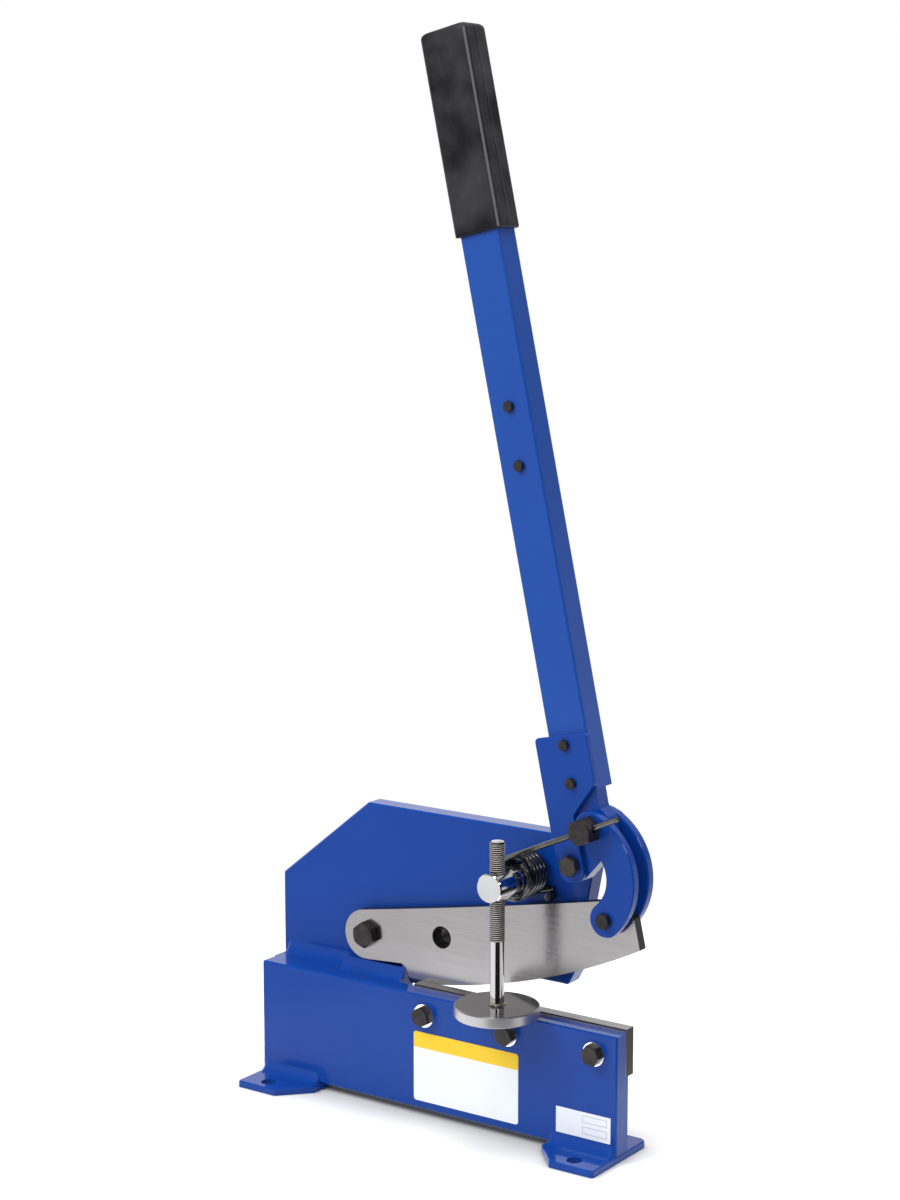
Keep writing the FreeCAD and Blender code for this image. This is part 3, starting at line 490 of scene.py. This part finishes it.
discLow, discHigh = boxOf("hold_down_disc")
holdDown = {"x": (discLow[0] + discHigh[0]) / 2, "y": (discLow[1] + discHigh[1]) / 2,
            "discRadius": (discHigh[0] - discLow[0]) / 2, "discBottom": discLow[2], "discTop": discHigh[2],
            "top": boxOf("hold_down_rod")[1][2], "edge": 0.8, "discSides": 160,
            "smoothRadius": 5.0, "smoothTop": 146.6, "smoothSides": 64,
            "threadRadius": 5.5, "threadDepth": 0.62, "pitch": 1.5, "threadSides": 48, "lap": 0.8,
            "beadWide": 2.0, "beadHigh": 2.0, "beadSteps": 9, "beadGap": 0.05}
discLook = {"top": (0.4, 0.382, 0.385, 1), "topOther": (0.33, 0.314, 0.316, 1), "rim": (0.6, 0.59, 0.6, 1),
            "patches": 20.0, "ringPitch": 0.35, "relief": 0.2, "ringDepth": 0.00005, "topRough": (0.09, 0.18),
            "rimRough": 0.34, "topFacing": (0.85, 0.97)}
rodLook = {"plated": (0.85, 0.85, 0.84, 1), "foot": (0.45, 0.4, 0.34, 1), "crest": (0.62, 0.575, 0.53, 1),
           "root": (0.012, 0.01, 0.009, 1), "rootFrom": 0.45, "crestFrom": 0.12, "fade": 0.1,
           "topMargin": 0.3, "footMargin": 0.3, "grain": 1500.0, "relief": 0.05, "rough": (0.04, 0.09),
           "dullRough": 0.26, "threadMetal": 0.45}


def fromHoldDown(tree, place):
    # distance from the hold-down's own vertical axis, in metres
    return fromAxis(tree, place, (holdDown["x"] * mm, holdDown["y"] * mm, 0.0), (1.0, 1.0, 0.0))


def discSteel(name):
    # facing marks are rings about the screw, from the distance to it; the rim is duller, and its lighter
    # colour is a painted reflection
    look = discLook
    material, tree, shader, place = newMaterial(name, {"Base Color": look["top"], "Metallic": 1.0})
    turns = worked(tree, "MULTIPLY", fromHoldDown(tree, place), 1.0 / (look["ringPitch"] * mm))
    rings = addNode(tree, "ShaderNodeTexNoise", {"noise_dimensions": "1D", "Scale": 1.0, "Detail": 2.0,
                                                 "W": turns}).outputs[0]
    bump = addNode(tree, "ShaderNodeBump", {"Strength": look["relief"], "Distance": look["ringDepth"],
                                            "Height": rings})
    rough = carried(tree, rings, noiseLow, noiseHigh, *look["topRough"])
    tint = placeGroup(tree, tintField, {"Vector": place, "Scale": look["patches"], "Main": look["top"],
                                        "Other": look["topOther"]})["Color"]
    upward = placeGroup(tree, facing, {"Direction": (0.0, 0.0, 1.0)})["Value"]
    isTop = stepBetween(tree, upward, *look["topFacing"])
    # the rim's lighter colour is a painted reflection
    colour = mixColor(tree, isTop, look["rim"], tint)
    surfaceOf(tree, shader, {"Base Color": colour, "Normal": bump.outputs[0],
                             "Roughness": mixFloat(tree, isTop, look["rimRough"], rough)})
    return material


def rodSteel(name):
    # bright plated rod; the thread's grooves are dark above smoothTop, and the bead at the foot is a dull tan
    h, look = holdDown, rodLook
    fade = look["fade"]
    material, tree, shader, place = newMaterial(name, {"Base Color": look["plated"], "Metallic": 1.0})
    distance = fromHoldDown(tree, place)
    height = addNode(tree, "ShaderNodeSeparateXYZ", {0: place}).outputs[2]
    outward = stepBetween(tree, distance, (h["threadRadius"] - look["rootFrom"]) * mm,
                          (h["threadRadius"] - look["crestFrom"]) * mm)
    thread = mixColor(tree, outward, look["root"], look["crest"])
    above = stepBetween(tree, height, (h["smoothTop"] - fade) * mm, (h["smoothTop"] + fade) * mm)
    below = stepBetween(tree, height, (h["top"] - fade) * mm, (h["top"] - look["topMargin"]) * mm)
    isThread = worked(tree, "MULTIPLY", above, below)
    beadTop = h["discTop"] + h["beadHigh"]
    isFoot = stepBetween(tree, height, (beadTop + look["footMargin"]) * mm, beadTop * mm)
    colour = mixColor(tree, isFoot, mixColor(tree, isThread, look["plated"], thread), look["foot"])
    grain = grainOf(tree, place, look)
    dull = worked(tree, "MAXIMUM", isThread, isFoot)
    surfaceOf(tree, shader, {"Base Color": colour, "Normal": grain["Normal"],
                             "Metallic": mixFloat(tree, isThread, 1.0, look["threadMetal"]),
                             "Roughness": mixFloat(tree, dull, grain["Roughness"], look["dullRough"])})
    return material


# grip rubber

# the grey along the grip's four long corners is a painted highlight
rubberLook = {"main": (0.003, 0.003, 0.004, 1), "other": (0.04, 0.038, 0.045, 1), "patches": 26.0,
              "cornerHighlight": (0.13, 0.13, 0.145, 1), "corners": [(0.69, -0.707, 0.15), (0.69, 0.707, 0.15)],
              "cornerHighlightFacing": (0.93, 0.985), "grain": 1400.0, "relief": 0.3, "rough": (0.28, 0.42),
              "level": 0.22}


def gripRubber(name):
    # cloudy black, with a painted grey highlight along the four long corners; each direction in corners
    # serves two of them
    look = rubberLook
    material, tree, shader, place = newMaterial(name, {"Base Color": look["main"],
                                                       "Specular IOR Level": look["level"]})
    colour = placeGroup(tree, tintField, {"Vector": place, "Scale": look["patches"], "Main": look["main"],
                                          "Other": look["other"]})["Color"]
    for corner in look["corners"]:
        towards = placeGroup(tree, facing, {"Direction": corner})["Value"]
        # painted highlight on the corners that face this direction
        colour = mixColor(tree, stepBetween(tree, towards, *look["cornerHighlightFacing"]), colour, look["cornerHighlight"])
    grain = grainOf(tree, place, look)
    surfaceOf(tree, shader, {"Base Color": colour, "Normal": grain["Normal"],
                             "Roughness": grain["Roughness"]})
    return material


# finishes by name, and the CAD nodes dressed in them

finish = {name: softFinish(name, look) for name, look in softLooks.items()}
finish["groundBlade"] = bladeSteel("groundBlade", upperSteel)
finish["lowerBladeSteel"] = bladeSteel("lowerBladeSteel", lowerSteel)
finish["facedDisc"] = discSteel("facedDisc")
finish["platedRod"] = rodSteel("platedRod")
finish["mouldedGrip"] = gripRubber("mouldedGrip")
slotFinish = {"blue_paint": "frameEnamel", "handle_paint": "handleEnamel", "blade_steel": "groundBlade",
              "black_bolt": "blackOxide", "zinc": "brightZinc", "spring_wire": "oiledWire",
              "bright_bar": "drawnBar", "bright_rod": "platedRod", "disc_steel": "facedDisc",
              "grip_black": "mouldedGrip"}
nodeFinish = {"back_plate": "boredEnamel", "lower_blade": "lowerBladeSteel", "lever_pivot_bolt": "wornOxide"}


def dressNodes():
    slotOf = {part["node"]: part["material_slot"] for part in frame["record"]["subparts"]}
    for nodeName, node in frame["nodes"].items():
        finishName = nodeFinish.get(nodeName, slotFinish[slotOf[nodeName]])
        node.data.materials.clear()
        node.data.materials.append(finish[finishName])


dressNodes()
print("materials made:", len(finish))


# hold-down


def buildHoldDown():
    h = holdDown
    axis = (h["x"], h["y"], 0.0)
    low, high, wide, edge = h["discBottom"], h["discTop"], h["discRadius"], h["edge"]
    disc = [(0, low), (wide - edge, low), (wide, low + edge),
            (wide, high - edge), (wide - edge, high), (0, high)]
    makePiece("holdDownDisc", [turned(disc, axis, "z", h["discSides"])], finish["facedDisc"],
              "hold_down", ["hold_down_disc"])
    # bead at the foot: a quarter circle falls from the rod's side to the disc
    foot = high + h["beadGap"]
    turn = np.linspace(0, np.pi / 2, h["beadSteps"])
    bead = np.stack([h["smoothRadius"] + h["beadWide"] * (1 - np.sin(turn)),
                     foot + h["beadHigh"] * (1 - np.cos(turn))], 1)
    smooth = np.concatenate([[(0, foot)], bead, [(h["smoothRadius"], h["smoothTop"]), (0, h["smoothTop"])]])
    thread = threaded(axis, "z", h["smoothTop"] - h["lap"], h["top"], h["threadRadius"], h["threadDepth"],
                      h["pitch"], h["threadSides"])
    makePiece("holdDownRod", [turned(smooth, axis, "z", h["smoothSides"]), thread], finish["platedRod"],
              "hold_down", ["hold_down_rod"])


buildHoldDown()
print("hold-down made")


# torsion spring

spring = {"meanRadius": 14.4, "wire": 2.0, "frontTurn": 300.0, "frontSteps": 120, "pastBolt": 30.0,
          "legSteps": 60, "turns": 4, "gap": 10.0, "coilSteps": 460, "pastPin": 1.5, "pinLegSteps": 16}


def circleAt(centre, radius, angle, y):
    # points centre + radius * (cos a, sin a) in the X Z plane, each at its own y
    return np.stack([centre[0] + radius * np.cos(angle), y, centre[1] + radius * np.sin(angle)], 1)


def buildSpringArm(centre, start, lean, far):
    # the front turn is a flat arc in the middle of its node, and the leg leaves it along its tangent
    s = spring
    low, high = boxOf("spring_arm")
    angle = np.radians(s["frontTurn"]) * np.linspace(1, 0, s["frontSteps"]) + start
    turn = circleAt(centre, s["meanRadius"], angle, np.full(angle.shape, (low[1] + high[1]) / 2))
    reach = np.sqrt(far ** 2 - s["meanRadius"] ** 2) + s["pastBolt"]
    along = np.linspace(0, reach, s["legSteps"])[1:, None]
    leg = turn[-1] + along * np.array([np.cos(lean), 0.0, np.sin(lean)])
    makePiece("springArm", [wireAlong(np.concatenate([turn, leg]), s["wire"])], finish["oiledWire"],
              "spring_leg", ["spring_arm"])


def buildSpringCoil(centre, start):
    # a helix back along Y from one face of its node to the other, and a leg that rests on the stop pin
    s = spring
    pinLow, pinHigh = boxOf("spring_stop_pin")
    toPin = np.array([(pinLow[0] + pinHigh[0]) / 2, pinHigh[2] + s["wire"]]) - centre
    pinFar = np.hypot(*toPin)
    legAngle = np.arctan2(toPin[1], toPin[0]) + np.arcsin(s["meanRadius"] / pinFar)
    first = start + np.radians(s["frontTurn"] + s["gap"])
    last = legAngle - np.pi / 2
    last += 2 * np.pi * np.ceil((first + 2 * np.pi * s["turns"] - last) / (2 * np.pi))
    low, high = boxOf("spring_coil")
    y = np.linspace(low[1] + s["wire"], high[1] - s["wire"], s["coilSteps"])
    coil = circleAt(centre, s["meanRadius"], np.linspace(first, last, s["coilSteps"]), y)
    heading = np.array([-np.sin(last), 0.0, np.cos(last)])
    reach = np.sqrt(pinFar ** 2 - s["meanRadius"] ** 2) + s["pastPin"]
    leg = coil[-1] + np.linspace(0, reach, s["pinLegSteps"])[1:, None] * heading
    makePiece("springCoil", [wireAlong(np.concatenate([coil, leg]), s["wire"])], finish["oiledWire"],
              "frame", ["spring_coil"])


def buildSpring():
    # the long leg touches the coil's circle and runs to the spring bolt, which is on the links' upper pivot
    centre = np.array(jointAt("spring_leg_turn"))
    toBolt = np.array(jointAt("link_pivot")) - centre
    far = np.hypot(*toBolt)
    lean = np.arctan2(toBolt[1], toBolt[0]) - np.arcsin(spring["meanRadius"] / far)
    start = lean + np.pi / 2
    buildSpringArm(centre, start, lean, far)
    buildSpringCoil(centre, start)


buildSpring()
print("spring made")


# grip

leverLean = 12.3    # degrees back from upright
grip = {"across": 12.7, "depth": 25.7, "wide": 38.0, "deep": 27.0, "low": 436.0, "high": 576.9, "corner": 3.2,
        "crown": 4.4, "lip": 1.0, "roundSteps": 10, "sideSteps": 18, "perCorner": 9, "perSide": 61,
        "sideFrom": 4.0, "sideShort": 0.5, "seamHigh": 0.3, "seamWide": 0.5, "seamSide": 0.6,
        "hollowWide": 32.2, "hollowDeep": 21.8, "hollowTop": 568.2, "hollowCorner": 1.5, "hollowRow": 3.0,
        "sharp": 50.0}


def leverPoint(across, y, along):
    # lever's own frame, leaning about its pivot, to the machine's frame
    lean = np.radians(leverLean)
    pivotX, pivotZ = jointAt("lever_pivot")
    return np.stack([pivotX + across * np.cos(lean) - along * np.sin(lean), y,
                     pivotZ + across * np.sin(lean) + along * np.cos(lean)], -1)


def gripRows():
    # rows of (shrink, along, inside): inside of the hollow, the lip, the side, then the rounded top
    g = grip
    turn = np.linspace(0, np.pi / 2, g["roundSteps"])
    sideLow, sideHigh = g["low"] + g["sideFrom"], g["high"] - g["crown"] - g["sideShort"]
    hollow = [(0.0, g["hollowTop"], 1), (0.0, g["low"] + g["hollowRow"], 1), (0.0, g["low"], 1)]
    lip = [(g["lip"] * (1 - np.sin(t)), g["low"] + g["lip"] * (1 - np.cos(t)), 0) for t in turn]
    side = [(0.0, h, 0) for h in np.linspace(sideLow, sideHigh, g["sideSteps"])]
    top = [(g["crown"] * (1 - np.cos(t)), g["high"] - g["crown"] * (1 - np.sin(t)), 0) for t in turn]
    return np.array(hollow + lip + side + top)


def buildGrip():
    # each row is a rounded rectangle of its own size, and rows run from inside the hollow round to the top
    g = grip
    rows = gripRows()
    shrink, along, inside = rows[:, 0], rows[:, 1], rows[:, 2] > 0
    halfX = np.where(inside, g["hollowWide"], g["wide"] - 2 * shrink)[:, None] / 2
    halfY = np.where(inside, g["hollowDeep"], g["deep"] - 2 * shrink)[:, None] / 2
    corner = np.where(inside, g["hollowCorner"], g["corner"])[:, None]
    slide, turn = roundedSection(g["perCorner"], g["perSide"])
    across = (halfX - corner) * slide[:, 0] + corner * turn[:, 0]
    depth = (halfY - corner) * slide[:, 1] + corner * turn[:, 1]
    # parting line: a thin ridge, exp(-(depth / seamWide) ** 2), down the middle of both narrow sides
    ridge = g["seamHigh"] * np.exp(-(depth / g["seamWide"]) ** 2) * np.where(inside, 0, 1)[:, None]
    onSide = np.abs(across) > g["seamSide"] * halfX
    across = across + np.where(onSide, ridge * np.sign(across), 0)
    points = leverPoint(g["across"] + across, g["depth"] + depth, np.repeat(along[:, None], len(slide), 1))
    makePiece("handleGrip", [points], finish["mouldedGrip"], "lever", ["handle_grip"],
              g["sharp"])


buildGrip()
print("grip made")


# blank labels on the front plate

labels = {"thick": 0.16, "corner": 2.2, "left": -14.9, "right": 75.0, "low": 11.0, "high": 62.4, "band": 50.7,
          "plate": (106.5, 150.5, 13.5, 32.0), "plateCorner": 0.3, "plateSteps": 3,
          "boxes": [(128.0, 147.6, 24.6, 29.6), (128.0, 147.6, 16.4, 21.6)], "line": 0.28, "ink": 0.03}


def boxStrips(left, right, low, high, front):
    # four thin strips that frame an empty box
    line, ink = labels["line"], labels["ink"]
    strips = ((left, right, low, low + line), (left, right, high - line, high),
              (left, left + line, low + line, high - line), (right - line, right, low + line, high - line))
    return [sheetAt(np.array([(b, d), (a, d), (a, c), (b, c)]), front - ink, ink) for a, b, c, d in strips]


def makeLabel(name, surfaces, finishName):
    makePiece(name, surfaces, finish[finishName], "frame")


def buildLabels():
    n = labels
    plateFace = boxOf("front_plate")[0][1]
    front = plateFace - n["thick"]
    outline = roundedRect(n["left"], n["right"], n["low"], n["high"], n["corner"])
    bandOutline = outline.copy()
    bandOutline[:, 1] = np.maximum(bandOutline[:, 1], n["band"])
    bodyOutline = outline.copy()
    bodyOutline[:, 1] = np.minimum(bodyOutline[:, 1], n["band"])
    plateOutline = roundedRect(*n["plate"], n["plateCorner"], n["plateSteps"])
    makeLabel("labelBand", [sheetAt(bandOutline, front, n["thick"])], "labelAmber")
    makeLabel("labelBody", [sheetAt(bodyOutline, front, n["thick"])], "labelWhite")
    makeLabel("dataPlate", [sheetAt(plateOutline, front, n["thick"])], "labelWhite")
    strips = []
    for box in n["boxes"]:
        strips += boxStrips(*box, front)
    makeLabel("dataPlateBoxes", strips, "labelInk")


buildLabels()
print("labels made")


# welds, run into hollow coves and painted over

welds = {"shelfStep": -94.1, "shelfLegs": (9.0, 4.5), "shelfSeeds": (3, 4), "frontLeg": 8.0, "backLeg": 5.0,
         "frontSeed": 5, "backSeed": 9, "waver": 0.05, "knots": 9, "hollow": 1.474, "endRound": 4.0,
         "endShare": 0.3, "stepLong": 0.6, "fewestSteps": 24, "acrossSteps": 12, "sharp": 60.0}


def slowWaver(count, seed):
    # a few random heights between -1 and 0, joined by half cosine waves
    w = welds
    knots = np.random.default_rng(seed).uniform(-1, 0, w["knots"])
    at = np.linspace(0, w["knots"] - 1.001, count)    # stops just short of the last knot
    whole = at.astype(int)
    blend = (1 - np.cos(np.pi * (at % 1))) / 2
    return w["waver"] * (knots[whole] * (1 - blend) + knots[whole + 1] * blend)


def coveSurface(left, right, y, z, leg, away, seed):
    # section: size * ((1 - t) ** hollow, t ** hollow) from toe to toe, then the corner;
    # size is the leg with its waver along x, and it draws in at both ends
    w = welds
    count = max(w["fewestSteps"], int((right - left) / w["stepLong"]))
    x = np.linspace(left, right, count)
    fromEnd = np.clip(np.minimum(x - left, right - x) / w["endRound"], 0, 1)
    ends = w["endShare"] + (1 - w["endShare"]) * np.sqrt(1 - (1 - fromEnd) ** 2)
    size = (leg * (1 + slowWaver(count, seed)) * ends)[:, None]
    t = np.linspace(0, 1, w["acrossSteps"])
    offY = np.concatenate([(1 - t) ** w["hollow"], [0.0]])
    offZ = np.concatenate([t ** w["hollow"], [0.0]])
    return np.stack([np.repeat(x[:, None], len(offY), 1), y + away * size * offY, z + size * offZ], -1)


def makeWeld(name, surfaces, node):
    makePiece(name, surfaces, finish["frameEnamel"], "frame", [node], welds["sharp"])


def buildWelds():
    w = welds
    shelfLow, shelfHigh = boxOf("shelf_weld")
    spans = ((shelfLow[0], w["shelfStep"]), (w["shelfStep"], shelfHigh[0]))
    makeWeld("shelfCove", [coveSurface(left, right, shelfHigh[1], shelfLow[2], leg, -1, seed)
                           for (left, right), leg, seed in zip(spans, w["shelfLegs"], w["shelfSeeds"])],
             "shelf_weld")
    plateLow, plateHigh = boxOf("front_plate")
    sides = ((plateLow[1], w["frontLeg"], -1, w["frontSeed"]),
             (plateHigh[1], w["backLeg"], 1, w["backSeed"]))
    for k, (name, node) in enumerate((("footCoveL", "foot_weld_left"), ("footCoveR", "foot_weld_right"))):
        low, high = boxOf(node)
        makeWeld(name, [coveSurface(low[0], high[0], y, low[2], leg, away, seed + k)
                        for y, leg, away, seed in sides], node)


buildWelds()
print("welds made")


# screw threads of the two pivot bolts, which show behind their nuts

pivotThreads = {"ends": [("blade_pivot", 52.2, 5.0, 1.5), ("lever_pivot", 51.2, 4.0, 1.25)], "proud": 0.06,
                "depth": 0.5, "sides": 32}


def buildThreads():
    p = pivotThreads
    start = boxOf("back_plate")[1][1]
    surfaces = []
    for joint, end, radius, pitch in p["ends"]:
        x, z = jointAt(joint)
        outer = radius + p["proud"]
        surfaces.append(threaded((x, 0, z), "y", start, end, outer, p["depth"], pitch, p["sides"]))
    makePiece("thread_frame", surfaces, finish["blackOxide"], "frame")


buildThreads()
print("threads made")


# camera

cameraView = {"lens": 72.396, "sensor": 36.0, "nearest": 0.01, "place": (0.9647, -1.3532, 0.6267),
              "pitch": 81.414, "turn": 35.08}


def buildCamera():
    v = cameraView
    cameraData = bpy.data.cameras.new("photoCamera")
    cameraData.lens = v["lens"]
    cameraData.sensor_width = v["sensor"]
    cameraData.clip_start = v["nearest"]
    camera = bpy.data.objects.new("photoCamera", cameraData)
    camera.location = v["place"]
    camera.rotation_euler = (math.radians(v["pitch"]), 0.0, math.radians(v["turn"]))
    bpy.context.scene.collection.objects.link(camera)
    bpy.context.scene.camera = camera


# lamps, which are discs that all point at one place; the two large ones don't show in reflections

lampAim = (0.0, 0.0, 0.25)
lamps = {"keyLamp": {"place": (-1.1, -1.5, 1.9), "size": 1.5, "power": 44.0, "mirrored": False},
         "topLamp": {"place": (0.2, 0.35, 2.2), "size": 1.6, "power": 28.0, "mirrored": False},
         "rimLamp": {"place": (0.15, -1.41, 2.43), "size": 0.6, "power": 6.0, "mirrored": True},
         "edgeLamp": {"place": (2.0, -1.45, 1.5), "size": 0.6, "power": 5.0, "mirrored": True}}


def buildLamps():
    for name, look in lamps.items():
        lampData = bpy.data.lights.new(name, "AREA")
        lampData.shape = "DISK"
        lampData.size = look["size"]
        lampData.energy = look["power"]
        lamp = bpy.data.objects.new(name, lampData)
        lamp.location = look["place"]
        lamp.rotation_euler = (Vector(look["place"]) - Vector(lampAim)).to_track_quat("Z", "Y").to_euler()
        lamp.visible_glossy = look["mirrored"]
        bpy.context.scene.collection.objects.link(lamp)


# floor

floorLook = {"half": 8.0, "tone": 0.8, "paintedShadowShare": 0.35, "contactReach": 0.06, "contactSamples": 8,
             "lift": 0.26, "fade": (0.45, 0.6), "fadeInMetal": (0.24, 0.34)}


def floorShader(tree):
    # diffuse, darkened close to the machine by a painted contact shadow from ambient occlusion, and lifted to
    # white for the eye and in reflections, but not for the light, so that the shadow stays; far out it gives
    # way to the world
    f = floorLook
    place = tree.nodes.new("ShaderNodeTexCoord").outputs["Object"]
    path = tree.nodes.new("ShaderNodeLightPath").outputs
    openShare = addNode(tree, "ShaderNodeAmbientOcclusion", {"samples": f["contactSamples"],
                                                             "Distance": f["contactReach"]}).outputs["AO"]
    # painted contact shadow: the floor's tone falls where ambient occlusion finds the machine close
    tone = mixFloat(tree, openShare, f["paintedShadowShare"] * f["tone"], f["tone"])
    diffuse = addNode(tree, "ShaderNodeBsdfDiffuse", {"Color": tone})
    eye = worked(tree, "MAXIMUM", path["Is Camera Ray"], path["Is Glossy Ray"])
    lift = worked(tree, "MULTIPLY", eye, f["lift"])
    # the white lift fades under the same painted contact shadow
    strength = worked(tree, "MULTIPLY", lift, worked(tree, "MULTIPLY", openShare, openShare))
    glow = addNode(tree, "ShaderNodeEmission", {"Color": (1, 1, 1, 1), "Strength": strength})
    both = addNode(tree, "ShaderNodeAddShader", {0: diffuse.outputs[0], 1: glow.outputs[0]})
    clear = addNode(tree, "ShaderNodeBsdfTransparent")
    distance = lengthOf(tree, place)
    far = mixFloat(tree, path["Is Glossy Ray"], stepBetween(tree, distance, *f["fade"]),
                   stepBetween(tree, distance, *f["fadeInMetal"]))
    return addNode(tree, "ShaderNodeMixShader", {0: far, 1: both.outputs[0], 2: clear.outputs[0]}).outputs[0]


def buildFloor():
    half = floorLook["half"]
    floorMesh = bpy.data.meshes.new("studioFloor")
    floorMesh.from_pydata([(-half, -half, 0), (half, -half, 0), (half, half, 0), (-half, half, 0)], [],
                          [(0, 1, 2, 3)])
    floor = bpy.data.objects.new("studioFloor", floorMesh)
    bpy.context.scene.collection.objects.link(floor)
    material = bpy.data.materials.new("studioFloor")
    material.use_nodes = True
    tree = material.node_tree
    tree.nodes.clear()
    addNode(tree, "ShaderNodeOutputMaterial", {"Surface": floorShader(tree)})
    floorMesh.materials.append(material)


# world: turns are degrees from +X about the vertical, and heights are the sine of the angle above the floor

skyLook = {"diffuse": 0.55, "sky": 0.86, "darkTurn": -47.5, "darkHalf": 40.0, "darkEdge": 4.0,
           "darkSky": 0.01, "rightTurn": 25.0, "rightCosine": (0.55, 0.9), "rightSky": 0.6,
           "rightAbove": 0.1, "rightHeight": (0.02, 0.16), "overhead": 0.15, "overheadHeight": (0.35, 0.8)}


def towardsTurn(tree, ray, turn):
    # cosine of the angle between the ray and a level direction
    direction = (math.cos(math.radians(turn)), math.sin(math.radians(turn)), 0.0)
    return vectorWorked(tree, "DOT_PRODUCT", ray, direction)["Value"]


def mirroredSky(tree):
    # what reflections see: a pale studio with one dark side, a dimmer right side and a dim top
    k = skyLook
    ray = tree.nodes.new("ShaderNodeTexCoord").outputs["Generated"]
    height = addNode(tree, "ShaderNodeSeparateXYZ", {0: ray}).outputs[2]
    outer = math.cos(math.radians(k["darkHalf"] + k["darkEdge"]))
    inner = math.cos(math.radians(k["darkHalf"] - k["darkEdge"]))
    dark = stepBetween(tree, towardsTurn(tree, ray, k["darkTurn"]), outer, inner)
    right = stepBetween(tree, towardsTurn(tree, ray, k["rightTurn"]), *k["rightCosine"])
    rightLevel = mixFloat(tree, stepBetween(tree, height, *k["rightHeight"]), k["rightSky"], k["rightAbove"])
    around = mixFloat(tree, dark, mixFloat(tree, right, k["sky"], rightLevel), k["darkSky"])
    return worked(tree, "MULTIPLY", around, carried(tree, height, *k["overheadHeight"], 1.0, k["overhead"]))


def buildWorld():
    # white for the eye and through glass, a plain grey for the light, and the mirrored sky in reflections
    world = bpy.data.worlds.new("studioWorld")
    bpy.context.scene.world = world
    world.use_nodes = True
    tree = world.node_tree
    tree.nodes.clear()
    path = tree.nodes.new("ShaderNodeLightPath").outputs
    glossy = mixFloat(tree, path["Is Glossy Ray"], skyLook["diffuse"], mirroredSky(tree))
    seen = worked(tree, "MAXIMUM", path["Is Camera Ray"], path["Is Transmission Ray"])
    level = mixFloat(tree, seen, glossy, 1.0)
    sky = addNode(tree, "ShaderNodeBackground", {"Color": (1, 1, 1, 1), "Strength": level})
    addNode(tree, "ShaderNodeOutputWorld", {"Surface": sky.outputs[0]})
    bpy.context.scene.view_settings.view_transform = "Standard"


buildCamera()
buildLamps()
buildFloor()
buildWorld()
print("studio made")
